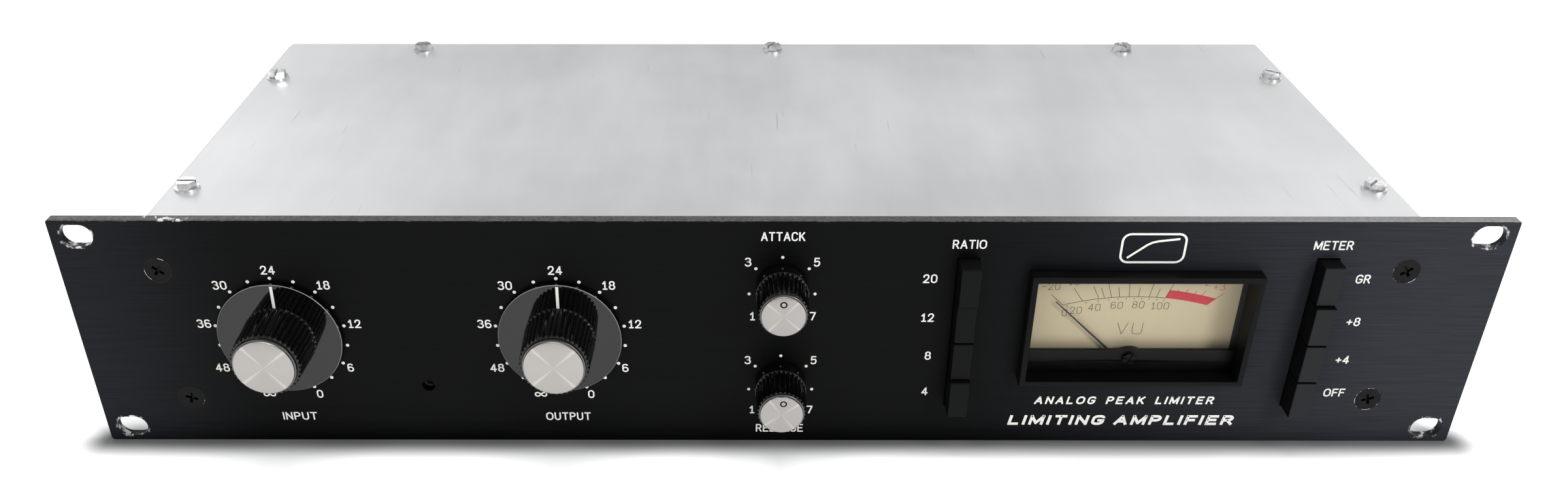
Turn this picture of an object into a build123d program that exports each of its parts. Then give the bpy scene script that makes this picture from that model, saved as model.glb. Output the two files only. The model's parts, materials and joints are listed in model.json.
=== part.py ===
from build123d import *
import math
import os

# A two-unit rack compressor: a 19-inch front panel on a shallow sheet-metal chassis.
# Frame: the origin is the centre of the four rack slots on the panel's rear face.
# +X is right as seen from the front, +Y goes back into the rack, +Z is up. Millimetres.

os.makedirs("parts", exist_ok=True)

# ---- Driving dimensions ------------------------------------------------------------------

# Front panel and its rack slots
PANEL_W, PANEL_H, PANEL_T = 482.6, 88.1, 3.2
PANEL_CORNER_R = 1.2
SLOT_PITCH_X, SLOT_PITCH_Z = 465.1, 76.2
SLOT_LENGTH, SLOT_HEIGHT = 11.0, 8.0

# Chassis: two flanged sides, a front wall, a rear panel and two flat covers
CHASSIS_HALF_W = 214.0
CHASSIS_DEPTH = 179.8
WALL = 1.6
COVER_T = 1.2
COVER_TOP = 40.25
COVER_LEFT, COVER_RIGHT = -212.6, 213.8
FLANGE_W = 13.0
REAR_FLANGE_W = 14.0
FLANGE_GAP = 0.4
SIDE_H = COVER_TOP - COVER_T

# Screws that hold the covers, and the flat-head screws in the panel
COVER_SCREW_X = 206.5
COVER_SCREW_SIDE_Y = (29.0, 137.2)
COVER_SCREW_REAR_X = (-152.5, 0.0, 152.5)
COVER_SCREW_REAR_Y = 170.6
WASHER_R, WASHER_T = 4.3, 0.9
HEX_FLATS, HEX_H = 6.35, 2.2
SCREW_SLOT_W, SCREW_SLOT_DEPTH = 1.1, 0.9
COVER_SHANK_R, COVER_SHANK_L = 1.9, 5.0
PANEL_SCREW_X = 208.5
PANEL_SCREW_Z = (-25.85, 25.35)
PANEL_SCREW_HEAD_R, PANEL_SCREW_SHANK_R, PANEL_SCREW_L = 4.15, 2.0, 9.0
PANEL_SCREW_TURN = (18, 74, 37, 58)
CROSS_L, CROSS_W, CROSS_DEPTH = 4.4, 1.0, 1.3
COVER_SCREW_TURN_STEP = 47

# Gap of a sliding fit, and how far a cutter passes the surface that it opens
FIT_GAP = 0.05
OVERCUT = 1.0

# Rotary controls: x, z of each axis
INPUT_AT = (-171.8, -0.05)
OUTPUT_AT = (-75.7, -0.05)
ATTACK_AT = (0.25, 19.05)
RELEASE_AT = (0.25, -19.45)
RELEASE_TURN = 7.0
CONTROL_HOLE_R = 8.0
SHAFT_R, BUSHING_R, BUSHING_BORE_R = 3.175, 4.7, 3.225
NUT_FLATS, NUT_H = 12.7, 2.2
BUSHING_SHORT, BUSHING_WELL = 0.5, 10.5
SHAFT_TAIL, SHAFT_SEAT = 10.0, 4.0
LARGE_POT_R, LARGE_POT_L = 15.0, 19.0
SMALL_POT_R, SMALL_POT_L = 12.0, 14.0
LUG_W, LUG_T, LUG_L, LUG_PITCH = 2.4, 1.0, 8.0, 7.0

# Large knobs (input and output); depths are distances in front of the panel's face
SKIRT_R, SKIRT_BACK, SKIRT_FRONT, SKIRT_CHAMFER = 21.15, 0.8, 2.5, 0.5
LARGE_BODY_R0, LARGE_BODY_R1, LARGE_BODY_FRONT = 12.3, 11.7, 19.0
LARGE_RING_R, LARGE_RING_FRONT = 10.6, 20.3
LARGE_CAP_R, LARGE_CAP_FRONT, LARGE_CAP_CHAMFER = 10.1, 21.0, 0.3
LARGE_FLUTES = 40
FLUTE_R, FLUTE_OUTSET, FLUTE_REACH = 0.72, 0.216, 1.4

# Small knobs (attack and release)
COLLAR_R, COLLAR_BACK, COLLAR_FRONT = 8.9, 0.7, 5.6
SMALL_BODY_R0, SMALL_BODY_R1, SMALL_BODY_FRONT = 8.7, 8.0, 18.2
SMALL_RING_R, SMALL_RING_FRONT = 7.7, 19.1
SMALL_CAP_R, SMALL_CAP_FRONT, SMALL_CAP_CHAMFER = 7.3, 19.8, 0.25
SMALL_FLUTES = 32
MARK_OFFSET, MARK_R0, MARK_R1, MARK_DEPTH = 4.5, 0.75, 1.2, 0.15

# Push buttons: two columns of four
RATIO_X, METER_KEY_X = 62.1, 181.5
BUTTON_TOP_Z, BUTTON_PITCH = 22.88, 14.72
BUTTON_W, BUTTON_H, BUTTON_CHAMFER = 6.9, 14.26, 0.3
BUTTON_FRONT, LATCHED_IN = 8.2, 1.5
BUTTON_REAR_Y = 3.0
BUTTON_SLOT_GAP = 0.35
STEM_W, STEM_END_Y, STEM_BORE_W = 3.0, 30.0, 3.8
BANK_W, BANK_FRONT_Y, BANK_REAR_Y = 16.0, 8.0, 40.0
BANK_EAR_H, BANK_EAR_SHORT = 5.0, 1.0
RATIO_NAMES = ("20", "12", "8", "4")
RATIO_LATCHED = ("12", "8")
METER_NAMES = ("gr", "plus8", "plus4", "off")
METER_LATCHED = ("gr",)

# Meter: centre of the bezel, its frame and what lies behind it
METER_X, METER_Z = 121.6, 4.33
BEZEL_W, BEZEL_H, BEZEL_FRONT, BEZEL_WALL, BEZEL_CHAMFER = 77.4, 42.75, 5.8, 2.0, 0.35
SLEEVE_W, SLEEVE_H = 75.6, 41.0
CUTOUT_GAP = 0.3
WINDOW_FRONT, WINDOW_BACK = -0.4, -1.6
LOWER_COVER_BACK, LOWER_COVER_TOP_Z = -3.2, -6.65
LOWER_STEP_Z, LOWER_STEP_DEPTH = -11.4, 0.45
BUMP_R, BUMP_RISE = 6.6, 1.0
ZERO_SCREW_Z, ZERO_SCREW_R, ZERO_SCREW_FRONT, ZERO_SCREW_BACK = -9.75, 2.25, -0.3, -3.0
ZERO_SCREW_TURN, ZERO_SLOT_W, ZERO_SLOT_DEPTH = 20.0, 0.7, 0.6
PIVOT_X, PIVOT_Z = 121.9, -14.65
NEEDLE_LENGTH, NEEDLE_REST, NEEDLE_W = 37.8, 47.1, 0.45
NEEDLE_FRONT, NEEDLE_BACK = -4.4, -4.8
NEEDLE_HUB_R, NEEDLE_TAIL, NEEDLE_TAIL_W = 2.4, 3.0, 1.35
DIAL_X, DIAL_W, DIAL_H, DIAL_FRONT, DIAL_BACK = 121.4, 72.4, 44.4, -6.0, -6.8
CASE_W, CASE_H, CASE_WALL, CASE_DEPTH = 80.0, 48.0, 1.6, 26.0

# Trimmer behind the screwdriver hole
TRIM_AT = (-123.75, -20.55)
TRIM_HOLE_R = 2.25
TRIM_BODY, TRIM_ROTOR_R, TRIM_ROTOR_BACK_Y, TRIM_BACK_Y = 13.0, 3.4, 5.0, 11.0
TRIM_ROTOR_GAP, TRIM_SLOT_W = 0.3, 1.0

# Rear connections
INLET_AT = (-150.0, -8.0)
INLET_W, INLET_H, INLET_L, INLET_FLANGE, INLET_FLANGE_T = 27.2, 19.8, 24.0, 2.6, 2.2
SOCKET_W, SOCKET_H, SOCKET_DEPTH, SOCKET_CHAMFER = 24.0, 16.6, 16.0, 4.4
PIN_L, PIN_W, PIN_T, PIN_PITCH, PIN_RISE = 11.0, 4.0, 2.0, 7.0, 2.0
FUSE_AT = (-105.0, -8.0)
FUSE_R, FUSE_FLANGE_R, FUSE_FLANGE_T, FUSE_L = 6.0, 8.5, 1.6, 28.0
FUSE_CAP_R, FUSE_CAP_L, FUSE_PLUG_R, FUSE_PLUG_L = 6.6, 8.0, 4.2, 14.0
FUSE_CAP_GAP, FUSE_CAP_CHAMFER, FUSE_SLOT_W, FUSE_SLOT_DEPTH, FUSE_FLOOR = 0.3, 0.6, 1.4, 1.5, 4.0
STRIP_X, STRIP_Z, STRIP_COUNT, STRIP_PITCH = 95.0, -8.0, 8, 11.1
STRIP_H, STRIP_T, BARRIER_T, BARRIER_RISE = 20.0, 7.0, 2.0, 5.0
STRIP_SCREW_R, STRIP_SCREW_H, STRIP_SLOT_W, STRIP_SLOT_DEPTH = 3.4, 2.2, 0.9, 0.8

# Inside: circuit board, transformers and capacitors
BOARD_X, BOARD_Y, BOARD_T, STANDOFF_H = (-112.0, 128.0), (58.0, 150.0), 1.6, 9.0
STANDOFF_R, BOARD_EDGE = 3.2, 6.0
CORE_X, CORE_Y, CORE_H = (-198.0, -140.0), (78.0, 132.0), 48.0
COIL_MARGIN, COIL_GAP, COIL_BORE_GAP = 11.0, 0.5, 0.1
CAN_R, CAN_H, CAN_X, CAN_Y = 17.0, 40.0, 160.0, (80.0, 128.0)
CAPACITOR_R, CAPACITOR_H, CAPACITOR_X, CAPACITOR_Y = 10.5, 30.0, (-92.0, -66.0, -40.0), 84.0
COMPONENTS_X = (-10, 110)
TRANSISTOR_R, TRANSISTOR_H, TRANSISTOR_PITCH, TRANSISTOR_Y = 3.6, 5.0, 20, 128.0
RESISTOR_R, RESISTOR_L, RESISTOR_PITCH, RESISTOR_Y = 1.5, 9.0, 12, (80.0, 104.0)

PANEL_FACE_Y = -PANEL_T
INNER_X = CHASSIS_HALF_W - WALL
SLEEVE_BACK = -PANEL_T
RACK_SLOT_CENTRES = [(sx * SLOT_PITCH_X / 2, sz * SLOT_PITCH_Z / 2) for sz in (-1, 1) for sx in (-1, 1)]
PANEL_SCREW_CENTRES = [(sx * PANEL_SCREW_X, z) for z in PANEL_SCREW_Z for sx in (-1, 1)]
COVER_SCREW_CENTRES = [(sx * COVER_SCREW_X, y) for y in COVER_SCREW_SIDE_Y for sx in (-1, 1)]
COVER_SCREW_CENTRES += [(x, COVER_SCREW_REAR_Y) for x in COVER_SCREW_REAR_X]
CONTROLS = {"input": INPUT_AT, "output": OUTPUT_AT, "attack": ATTACK_AT, "release": RELEASE_AT}


# ---- Helpers -----------------------------------------------------------------------------


def save(name, shape):
    """Write one sub-part."""
    shape.label = name
    export_step(shape, f"parts/{name}.step")


def group(solids):
    """Several separate solids as one shape."""
    return Compound(children=[piece for solid in solids for piece in solid.solids()])


def block(x0, x1, y0, y1, z0, z1):
    """Box between two corners."""
    return Pos((x0 + x1) / 2, (y0 + y1) / 2, (z0 + z1) / 2) * Box(x1 - x0, y1 - y0, z1 - z0)


def rod(x, z, y0, y1, radius):
    """Cylinder along Y."""
    return Pos(x, (y0 + y1) / 2, z) * Rot(-90, 0, 0) * Cylinder(radius, y1 - y0)


def post(x, y, z0, z1, radius):
    """Cylinder along Z."""
    return Pos(x, y, (z0 + z1) / 2) * Cylinder(radius, z1 - z0)


def on_panel(x, z, turn=0.0):
    """Local frame on the panel's face: local x right, local y up, local z out of the face."""
    return Pos(x, PANEL_FACE_Y, z) * Rot(90, 0, 0) * Rot(0, 0, -turn)


def disc(radius, back, front):
    """Cylinder in the panel's local frame, between two distances in front of the face."""
    return Pos(0, 0, (back + front) / 2) * Cylinder(radius, front - back)


def plate(width, height, back, front, x=0.0, y=0.0):
    """Box in the panel's local frame."""
    return Pos(x, y, (back + front) / 2) * Box(width, height, front - back)


def hexagon(flats, back, front):
    """Hexagonal prism in a local frame."""
    outline = RegularPolygon(flats / 2, 6, major_radius=False)
    return Pos(0, 0, back) * extrude(outline, front - back)


def button_z(index):
    """Height of a button in its column, counted from the top."""
    return BUTTON_TOP_Z - index * BUTTON_PITCH


# ---- Front panel -------------------------------------------------------------------------


def button_slot():
    """Cutter for one column of buttons, through the panel and the front wall."""
    half_w = BUTTON_W / 2 + BUTTON_SLOT_GAP
    top = button_z(0) + BUTTON_H / 2 + BUTTON_SLOT_GAP
    bottom = button_z(3) - BUTTON_H / 2 - BUTTON_SLOT_GAP
    return block(-half_w, half_w, -2 * PANEL_T, 2 * PANEL_T, bottom, top)


def front_panel():
    """The 19-inch panel with its rack slots, control holes, button slots and meter cut-out."""
    outline = RectangleRounded(PANEL_W, PANEL_H, PANEL_CORNER_R)
    panel = on_panel(0, 0) * Pos(0, 0, -PANEL_T) * extrude(outline, PANEL_T)
    slot = extrude(SlotOverall(SLOT_LENGTH, SLOT_HEIGHT), PANEL_T * 3, both=True)
    cutters = [on_panel(x, z) * slot for x, z in RACK_SLOT_CENTRES]
    cutters += [rod(x, z, -2 * PANEL_T, PANEL_T, CONTROL_HOLE_R) for x, z in CONTROLS.values()]
    cutters += [rod(*TRIM_AT, -2 * PANEL_T, PANEL_T, TRIM_HOLE_R)]
    cutters += [Pos(x, 0, 0) * button_slot() for x in (RATIO_X, METER_KEY_X)]
    sleeve = plate(SLEEVE_W + 2 * CUTOUT_GAP, SLEEVE_H + 2 * CUTOUT_GAP, -2 * PANEL_T, PANEL_T)
    cutters += [on_panel(METER_X, METER_Z) * sleeve]
    sink_depth = PANEL_SCREW_HEAD_R - PANEL_SCREW_SHANK_R
    sink = Pos(0, 0, -sink_depth / 2) * Cone(
        PANEL_SCREW_SHANK_R + FIT_GAP, PANEL_SCREW_HEAD_R + FIT_GAP, sink_depth
    )
    shank = disc(PANEL_SCREW_SHANK_R + FIT_GAP, -2 * PANEL_T, 0)
    for x, z in PANEL_SCREW_CENTRES:
        cutters += [on_panel(x, z) * sink, on_panel(x, z) * shank]
    return panel - cutters


def panel_screws():
    """Four flat-head screws, flush with the panel, each with a cross recess."""
    head_depth = PANEL_SCREW_HEAD_R - PANEL_SCREW_SHANK_R
    head = Pos(0, 0, -head_depth / 2) * Cone(PANEL_SCREW_SHANK_R, PANEL_SCREW_HEAD_R, head_depth)
    screw = head + disc(PANEL_SCREW_SHANK_R, -PANEL_SCREW_L, -head_depth)
    screw -= plate(CROSS_L, CROSS_W, -CROSS_DEPTH, CROSS_DEPTH)
    screw -= plate(CROSS_W, CROSS_L, -CROSS_DEPTH, CROSS_DEPTH)
    places = zip(PANEL_SCREW_CENTRES, PANEL_SCREW_TURN)
    return group([on_panel(x, z, turn) * screw for (x, z), turn in places])


# ---- Chassis -----------------------------------------------------------------------------


def cover_screw_holes(radius):
    """Cutters for all cover screws, through the top and the bottom."""
    return [post(x, y, -PANEL_H, PANEL_H, radius) for x, y in COVER_SCREW_CENTRES]


def chassis_side(sign):
    """One side: a plate with a flange turned inwards at its top and bottom."""
    outer, inner = sign * CHASSIS_HALF_W, sign * INNER_X
    flange_x = sorted((inner, sign * (INNER_X - FLANGE_W)))
    wall_x = sorted((outer, inner))
    side = block(*wall_x, 0, CHASSIS_DEPTH, -SIDE_H, SIDE_H)
    for z0, z1 in ((SIDE_H - WALL, SIDE_H), (-SIDE_H, WALL - SIDE_H)):
        side += block(*flange_x, WALL, CHASSIS_DEPTH - WALL, z0, z1)
    return side - cover_screw_holes(COVER_SHANK_R + FIT_GAP)


def rear_panel():
    """The rear panel, with flanges under both covers and cut-outs for what it carries."""
    back, front = CHASSIS_DEPTH, CHASSIS_DEPTH - WALL
    half_flange = INNER_X - FLANGE_W - FLANGE_GAP
    panel = block(-INNER_X, INNER_X, front, back, -SIDE_H, SIDE_H)
    for z0, z1 in ((SIDE_H - WALL, SIDE_H), (-SIDE_H, WALL - SIDE_H)):
        panel += block(-half_flange, half_flange, back - REAR_FLANGE_W, front, z0, z1)
    x, z = INLET_AT
    half_w, half_h = INLET_W / 2 + FIT_GAP, INLET_H / 2 + FIT_GAP
    cutters = [block(x - half_w, x + half_w, front - WALL, back + WALL, z - half_h, z + half_h)]
    cutters += [rod(*FUSE_AT, front - WALL, back + WALL, FUSE_R + FIT_GAP)]
    for x in strip_positions():
        cutters += [rod(x, STRIP_Z, front - WALL, back + WALL, STRIP_SCREW_R)]
    return panel - cutters - cover_screw_holes(COVER_SHANK_R + FIT_GAP)


def front_wall():
    """The chassis's front wall, directly behind the panel."""
    wall = block(-INNER_X, INNER_X, 0, WALL, -SIDE_H, SIDE_H)
    cutters = [rod(x, z, -WALL, 2 * WALL, BUSHING_R + FIT_GAP) for x, z in CONTROLS.values()]
    cutters += [rod(*TRIM_AT, -WALL, 2 * WALL, TRIM_HOLE_R)]
    cutters += [Pos(x, 0, 0) * button_slot() for x in (RATIO_X, METER_KEY_X)]
    case = plate(CASE_W + 2 * CUTOUT_GAP, CASE_H + 2 * CUTOUT_GAP, -4 * PANEL_T, 0)
    cutters += [on_panel(METER_X, METER_Z) * case]
    shank_r = PANEL_SCREW_SHANK_R + FIT_GAP
    cutters += [rod(x, z, -WALL, 2 * WALL, shank_r) for x, z in PANEL_SCREW_CENTRES]
    return wall - cutters


def cover(sign):
    """A flat cover, on top for +1 and underneath for -1."""
    z0, z1 = sorted((sign * SIDE_H, sign * COVER_TOP))
    sheet = block(COVER_LEFT, COVER_RIGHT, FIT_GAP, CHASSIS_DEPTH, z0, z1)
    return sheet - cover_screw_holes(COVER_SHANK_R + FIT_GAP)


def cover_screws(sign):
    """Hex washer-head screws with a driver slot, through one cover."""
    screw = post(0, 0, 0, WASHER_T, WASHER_R)
    screw += hexagon(HEX_FLATS, WASHER_T, WASHER_T + HEX_H)
    screw += post(0, 0, -COVER_SHANK_L, 0, COVER_SHANK_R)
    top = WASHER_T + HEX_H
    slot = block(-HEX_FLATS, HEX_FLATS, -SCREW_SLOT_W / 2, SCREW_SLOT_W / 2, top - SCREW_SLOT_DEPTH, 2 * top)
    screw -= slot
    flip = Rot(0, 0, 0) if sign > 0 else Rot(180, 0, 0)
    placed = []
    for index, (x, y) in enumerate(COVER_SCREW_CENTRES):
        placed += [Pos(x, y, sign * COVER_TOP) * flip * Rot(0, 0, index * COVER_SCREW_TURN_STEP) * screw]
    return group(placed)


# ---- Rotary controls ---------------------------------------------------------------------


def flute_cutters(count, r0, r1, z0, z1):
    """Round grooves down a tapered knob, in its local frame."""
    lean = math.degrees(math.atan2(r0 - r1, z1 - z0))
    reach = (z1 - z0) * FLUTE_REACH
    middle = Pos((r0 + r1) / 2 + FLUTE_OUTSET, 0, (z0 + z1) / 2)
    groove = middle * Rot(0, -lean, 0) * Cylinder(FLUTE_R, reach)
    return [Rot(0, 0, 360 * index / count) * groove for index in range(count)]


def large_knob_body():
    """Fluted body of the input and output knobs, with a ring around the cap's seat."""
    height = LARGE_BODY_FRONT - SKIRT_FRONT
    middle = (SKIRT_FRONT + LARGE_BODY_FRONT) / 2
    body = Pos(0, 0, middle) * Cone(LARGE_BODY_R0, LARGE_BODY_R1, height)
    body -= flute_cutters(LARGE_FLUTES, LARGE_BODY_R0, LARGE_BODY_R1, SKIRT_FRONT, LARGE_BODY_FRONT)
    body += disc(LARGE_RING_R, LARGE_BODY_FRONT, LARGE_RING_FRONT)
    body -= disc(LARGE_CAP_R + FIT_GAP, LARGE_BODY_FRONT, LARGE_RING_FRONT + OVERCUT)
    return body - disc(BUSHING_BORE_R, 0, LARGE_BODY_FRONT - SHAFT_SEAT)


def large_knob_cap():
    """Metal cap let into the front of a large knob."""
    cap = disc(LARGE_CAP_R, LARGE_BODY_FRONT, LARGE_CAP_FRONT)
    return chamfer(cap.edges().filter_by(GeomType.CIRCLE).sort_by(Axis.Z)[-1], LARGE_CAP_CHAMFER)


def knob_skirt():
    """Clear dial skirt that carries the index line."""
    skirt = disc(SKIRT_R, SKIRT_BACK, SKIRT_FRONT)
    skirt = chamfer(skirt.edges().filter_by(GeomType.CIRCLE).sort_by(Axis.Z)[-1], SKIRT_CHAMFER)
    return skirt - disc(BUSHING_BORE_R, 0, SKIRT_FRONT + OVERCUT)


def small_knob_body():
    """Body of the attack and release knobs: a smooth collar below the flutes."""
    body = disc(COLLAR_R, COLLAR_BACK, COLLAR_FRONT)
    height = SMALL_BODY_FRONT - COLLAR_FRONT
    middle = (COLLAR_FRONT + SMALL_BODY_FRONT) / 2
    fluted = Pos(0, 0, middle) * Cone(SMALL_BODY_R0, SMALL_BODY_R1, height)
    fluted -= flute_cutters(SMALL_FLUTES, SMALL_BODY_R0, SMALL_BODY_R1, COLLAR_FRONT, SMALL_BODY_FRONT)
    body += fluted
    body += disc(SMALL_RING_R, SMALL_BODY_FRONT, SMALL_RING_FRONT)
    body -= disc(SMALL_CAP_R + FIT_GAP, SMALL_BODY_FRONT, SMALL_RING_FRONT + OVERCUT)
    return body - disc(BUSHING_BORE_R, 0, SMALL_BODY_FRONT - SHAFT_SEAT)


def small_knob_cap():
    """Metal cap with a ring mark that points at the scale."""
    cap = disc(SMALL_CAP_R, SMALL_BODY_FRONT, SMALL_CAP_FRONT)
    cap = chamfer(cap.edges().filter_by(GeomType.CIRCLE).sort_by(Axis.Z)[-1], SMALL_CAP_CHAMFER)
    mark = disc(MARK_R1, SMALL_CAP_FRONT - MARK_DEPTH, SMALL_CAP_FRONT + OVERCUT)
    mark -= disc(MARK_R0, SMALL_CAP_FRONT - MARK_DEPTH, SMALL_CAP_FRONT + OVERCUT)
    return cap - Pos(0, MARK_OFFSET, 0) * mark


def control_shaft(front):
    """Shaft from inside the control to the knob's blind hole."""
    return disc(SHAFT_R, -PANEL_T - WALL - SHAFT_TAIL, front - SHAFT_SEAT)


def control_body(radius, length):
    """Rotary control: a can behind the front wall, a hollow bushing through it, and three lugs."""
    wall_back = -PANEL_T - WALL
    body = disc(radius, wall_back - length, wall_back)
    body += disc(BUSHING_R, wall_back, -BUSHING_SHORT)
    for index in (-1, 0, 1):
        lug_z = wall_back - length / 2
        body += plate(LUG_W, LUG_L, lug_z - LUG_T / 2, lug_z + LUG_T / 2, index * LUG_PITCH, -radius)
    return body - disc(BUSHING_BORE_R, wall_back - BUSHING_WELL, 0)


def control_nuts():
    """Hexagonal nuts on the bushings, sunk in the panel's holes."""
    nut = hexagon(NUT_FLATS, -PANEL_T, NUT_H - PANEL_T) - disc(BUSHING_R + FIT_GAP, -2 * PANEL_T, 0)
    return group([on_panel(x, z) * nut for x, z in CONTROLS.values()])


# ---- Push buttons ------------------------------------------------------------------------


def button(x, index, latched):
    """One button with its square stem; a latched one sits further in."""
    shift = LATCHED_IN if latched else 0.0
    half_w, half_h, half_stem = BUTTON_W / 2, BUTTON_H / 2, STEM_W / 2
    front_y = PANEL_FACE_Y - BUTTON_FRONT
    key = block(-half_w, half_w, front_y, BUTTON_REAR_Y, -half_h, half_h)
    key = chamfer(key.faces().sort_by(Axis.Y)[0].edges(), BUTTON_CHAMFER)
    key += block(-half_stem, half_stem, BUTTON_REAR_Y, STEM_END_Y, -half_stem, half_stem)
    return Pos(x, shift, button_z(index)) * key


def switch_bank(x):
    """Interlocked push-button switch frame behind one column of buttons."""
    top, bottom = button_z(0) + BUTTON_H / 2 + BANK_EAR_H, button_z(3) - BUTTON_H / 2 - BANK_EAR_H
    half_w, half_bore = BANK_W / 2, STEM_BORE_W / 2
    bank = block(-half_w, half_w, BANK_FRONT_Y, BANK_REAR_Y, bottom, top)
    ear = BANK_EAR_H - BANK_EAR_SHORT
    for z0, z1 in ((top - ear, top), (bottom, bottom + ear)):
        bank += block(-half_w, half_w, WALL, BANK_FRONT_Y, z0, z1)
    for index in range(4):
        z = button_z(index)
        bank -= block(-half_bore, half_bore, 0, 2 * BANK_REAR_Y, z - half_bore, z + half_bore)
    return Pos(x, 0, 0) * bank


# ---- Meter -------------------------------------------------------------------------------


def meter_bezel():
    """Rectangular frame that stands proud of the panel, with a sleeve through the cut-out."""
    frame = plate(BEZEL_W, BEZEL_H, 0, BEZEL_FRONT)
    frame = chamfer(frame.faces().sort_by(Axis.Z)[-1].edges(), BEZEL_CHAMFER)
    frame += plate(SLEEVE_W, SLEEVE_H, SLEEVE_BACK, 0)
    frame -= plate(BEZEL_W - 2 * BEZEL_WALL, BEZEL_H - 2 * BEZEL_WALL, -2 * PANEL_T, 2 * BEZEL_FRONT)
    return on_panel(METER_X, METER_Z) * frame


def zero_screw_bore():
    """Cutter for the zero screw, in the meter's local frame."""
    return Pos(0, ZERO_SCREW_Z - METER_Z, 0) * disc(ZERO_SCREW_R + FIT_GAP, -PANEL_T - OVERCUT, BEZEL_FRONT)


def meter_window():
    """Clear plate inside the bezel."""
    window = plate(BEZEL_W - 2 * BEZEL_WALL, BEZEL_H - 2 * BEZEL_WALL, WINDOW_BACK, WINDOW_FRONT)
    return on_panel(METER_X, METER_Z) * (window - zero_screw_bore())


def meter_lower_cover():
    """Black plate over the movement: a stepped front, and a rounded rise above the pivot."""
    width = BEZEL_W - 2 * BEZEL_WALL
    bottom = -BEZEL_H / 2 + BEZEL_WALL
    top, step = LOWER_COVER_TOP_Z - METER_Z, LOWER_STEP_Z - METER_Z
    shield = plate(width, top - bottom, LOWER_COVER_BACK, WINDOW_BACK, 0, (top + bottom) / 2)
    bump = Pos(0, top + BUMP_RISE - BUMP_R, 0) * disc(BUMP_R, LOWER_COVER_BACK, WINDOW_BACK)
    shield += bump & plate(width, 2 * BUMP_R, LOWER_COVER_BACK, WINDOW_BACK, 0, top)
    shield -= plate(width, step - bottom, WINDOW_BACK - LOWER_STEP_DEPTH, 0, 0, (step + bottom) / 2)
    return on_panel(METER_X, METER_Z) * (shield - zero_screw_bore())


def meter_zero_screw():
    """Zero adjuster with a crossed slot, flush in the window."""
    screw = disc(ZERO_SCREW_R, ZERO_SCREW_BACK, ZERO_SCREW_FRONT)
    floor = ZERO_SCREW_FRONT - ZERO_SLOT_DEPTH
    screw -= plate(2 * ZERO_SCREW_R, ZERO_SLOT_W, floor, 0)
    screw -= plate(ZERO_SLOT_W, 2 * ZERO_SCREW_R, floor, 0)
    return on_panel(METER_X, ZERO_SCREW_Z, ZERO_SCREW_TURN) * screw


def meter_needle():
    """Needle with a hub and a balancing tail, turned to the left end of its scale."""
    needle = plate(NEEDLE_W, NEEDLE_LENGTH, NEEDLE_BACK, NEEDLE_FRONT, 0, NEEDLE_LENGTH / 2)
    needle += plate(NEEDLE_TAIL_W, NEEDLE_TAIL, NEEDLE_BACK, NEEDLE_FRONT, 0, -NEEDLE_TAIL / 2)
    needle += disc(NEEDLE_HUB_R, NEEDLE_BACK, NEEDLE_FRONT)
    return on_panel(PIVOT_X, PIVOT_Z, -NEEDLE_REST) * needle


def meter_dial():
    """Printed dial plate."""
    return on_panel(DIAL_X, METER_Z) * plate(DIAL_W, DIAL_H, DIAL_BACK, DIAL_FRONT)


def meter_case():
    """Meter housing behind the panel, with a shallow pocket for the dial in front."""
    case = plate(CASE_W, CASE_H, -PANEL_T - CASE_DEPTH, -PANEL_T)
    pocket = plate(CASE_W - 2 * CASE_WALL, CASE_H - 2 * CASE_WALL, DIAL_BACK, 0)
    return on_panel(METER_X, METER_Z) * (case - pocket)


# ---- Trimmer -----------------------------------------------------------------------------


def trimmer_body():
    """Preset control behind the front wall, open at the front for its rotor."""
    x, z = TRIM_AT
    half = TRIM_BODY / 2
    body = block(x - half, x + half, WALL, TRIM_BACK_Y, z - half, z + half)
    return body - rod(x, z, 0, TRIM_ROTOR_BACK_Y, TRIM_ROTOR_R + FIT_GAP)


def trimmer_rotor():
    """Slotted rotor of the preset."""
    x, z = TRIM_AT
    front = WALL + TRIM_ROTOR_GAP
    reach, half_slot = 2 * TRIM_ROTOR_R, TRIM_SLOT_W / 2
    rotor = rod(x, z, front, TRIM_ROTOR_BACK_Y, TRIM_ROTOR_R)
    return rotor - block(x - reach, x + reach, 0, front + OVERCUT, z - half_slot, z + half_slot)


# ---- Rear connections --------------------------------------------------------------------


def on_rear(x, z):
    """Local frame on the rear panel's outside: local x left, local y up, local z backwards."""
    return Pos(x, CHASSIS_DEPTH, z) * Rot(90, 0, 0) * Rot(0, 180, 0)


def socket_outline():
    """Mains socket outline: a rectangle with its two upper corners cut off."""
    corners = Rectangle(SOCKET_W, SOCKET_H).vertices().group_by(Axis.Y)[-1]
    return chamfer(corners, SOCKET_CHAMFER)


def mains_inlet():
    """Snap-in mains inlet with an open socket."""
    inlet = plate(INLET_W, INLET_H, -INLET_L, 0)
    flange_w, flange_h = INLET_W + 2 * INLET_FLANGE, INLET_H + 2 * INLET_FLANGE
    inlet += plate(flange_w, flange_h, 0, INLET_FLANGE_T)
    socket = Pos(0, 0, INLET_FLANGE_T - SOCKET_DEPTH) * extrude(socket_outline(), SOCKET_DEPTH + OVERCUT)
    return on_rear(*INLET_AT) * (inlet - socket)


def mains_inlet_pins():
    """Three flat pins standing on the socket's floor."""
    floor = INLET_FLANGE_T - SOCKET_DEPTH
    places = ((-PIN_PITCH, -PIN_RISE), (PIN_PITCH, -PIN_RISE), (0, PIN_RISE))
    pins = [plate(PIN_T, PIN_W, floor, floor + PIN_L, x, y) for x, y in places]
    return group([on_rear(*INLET_AT) * pin for pin in pins])


def fuse_holder():
    """Fuse holder: a tube through the rear panel with a flange outside."""
    holder = disc(FUSE_R, -FUSE_L, 0) + disc(FUSE_FLANGE_R, 0, FUSE_FLANGE_T)
    return on_rear(*FUSE_AT) * (holder - disc(FUSE_PLUG_R + FIT_GAP, -FUSE_L + FUSE_FLOOR, FUSE_FLANGE_T))


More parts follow.
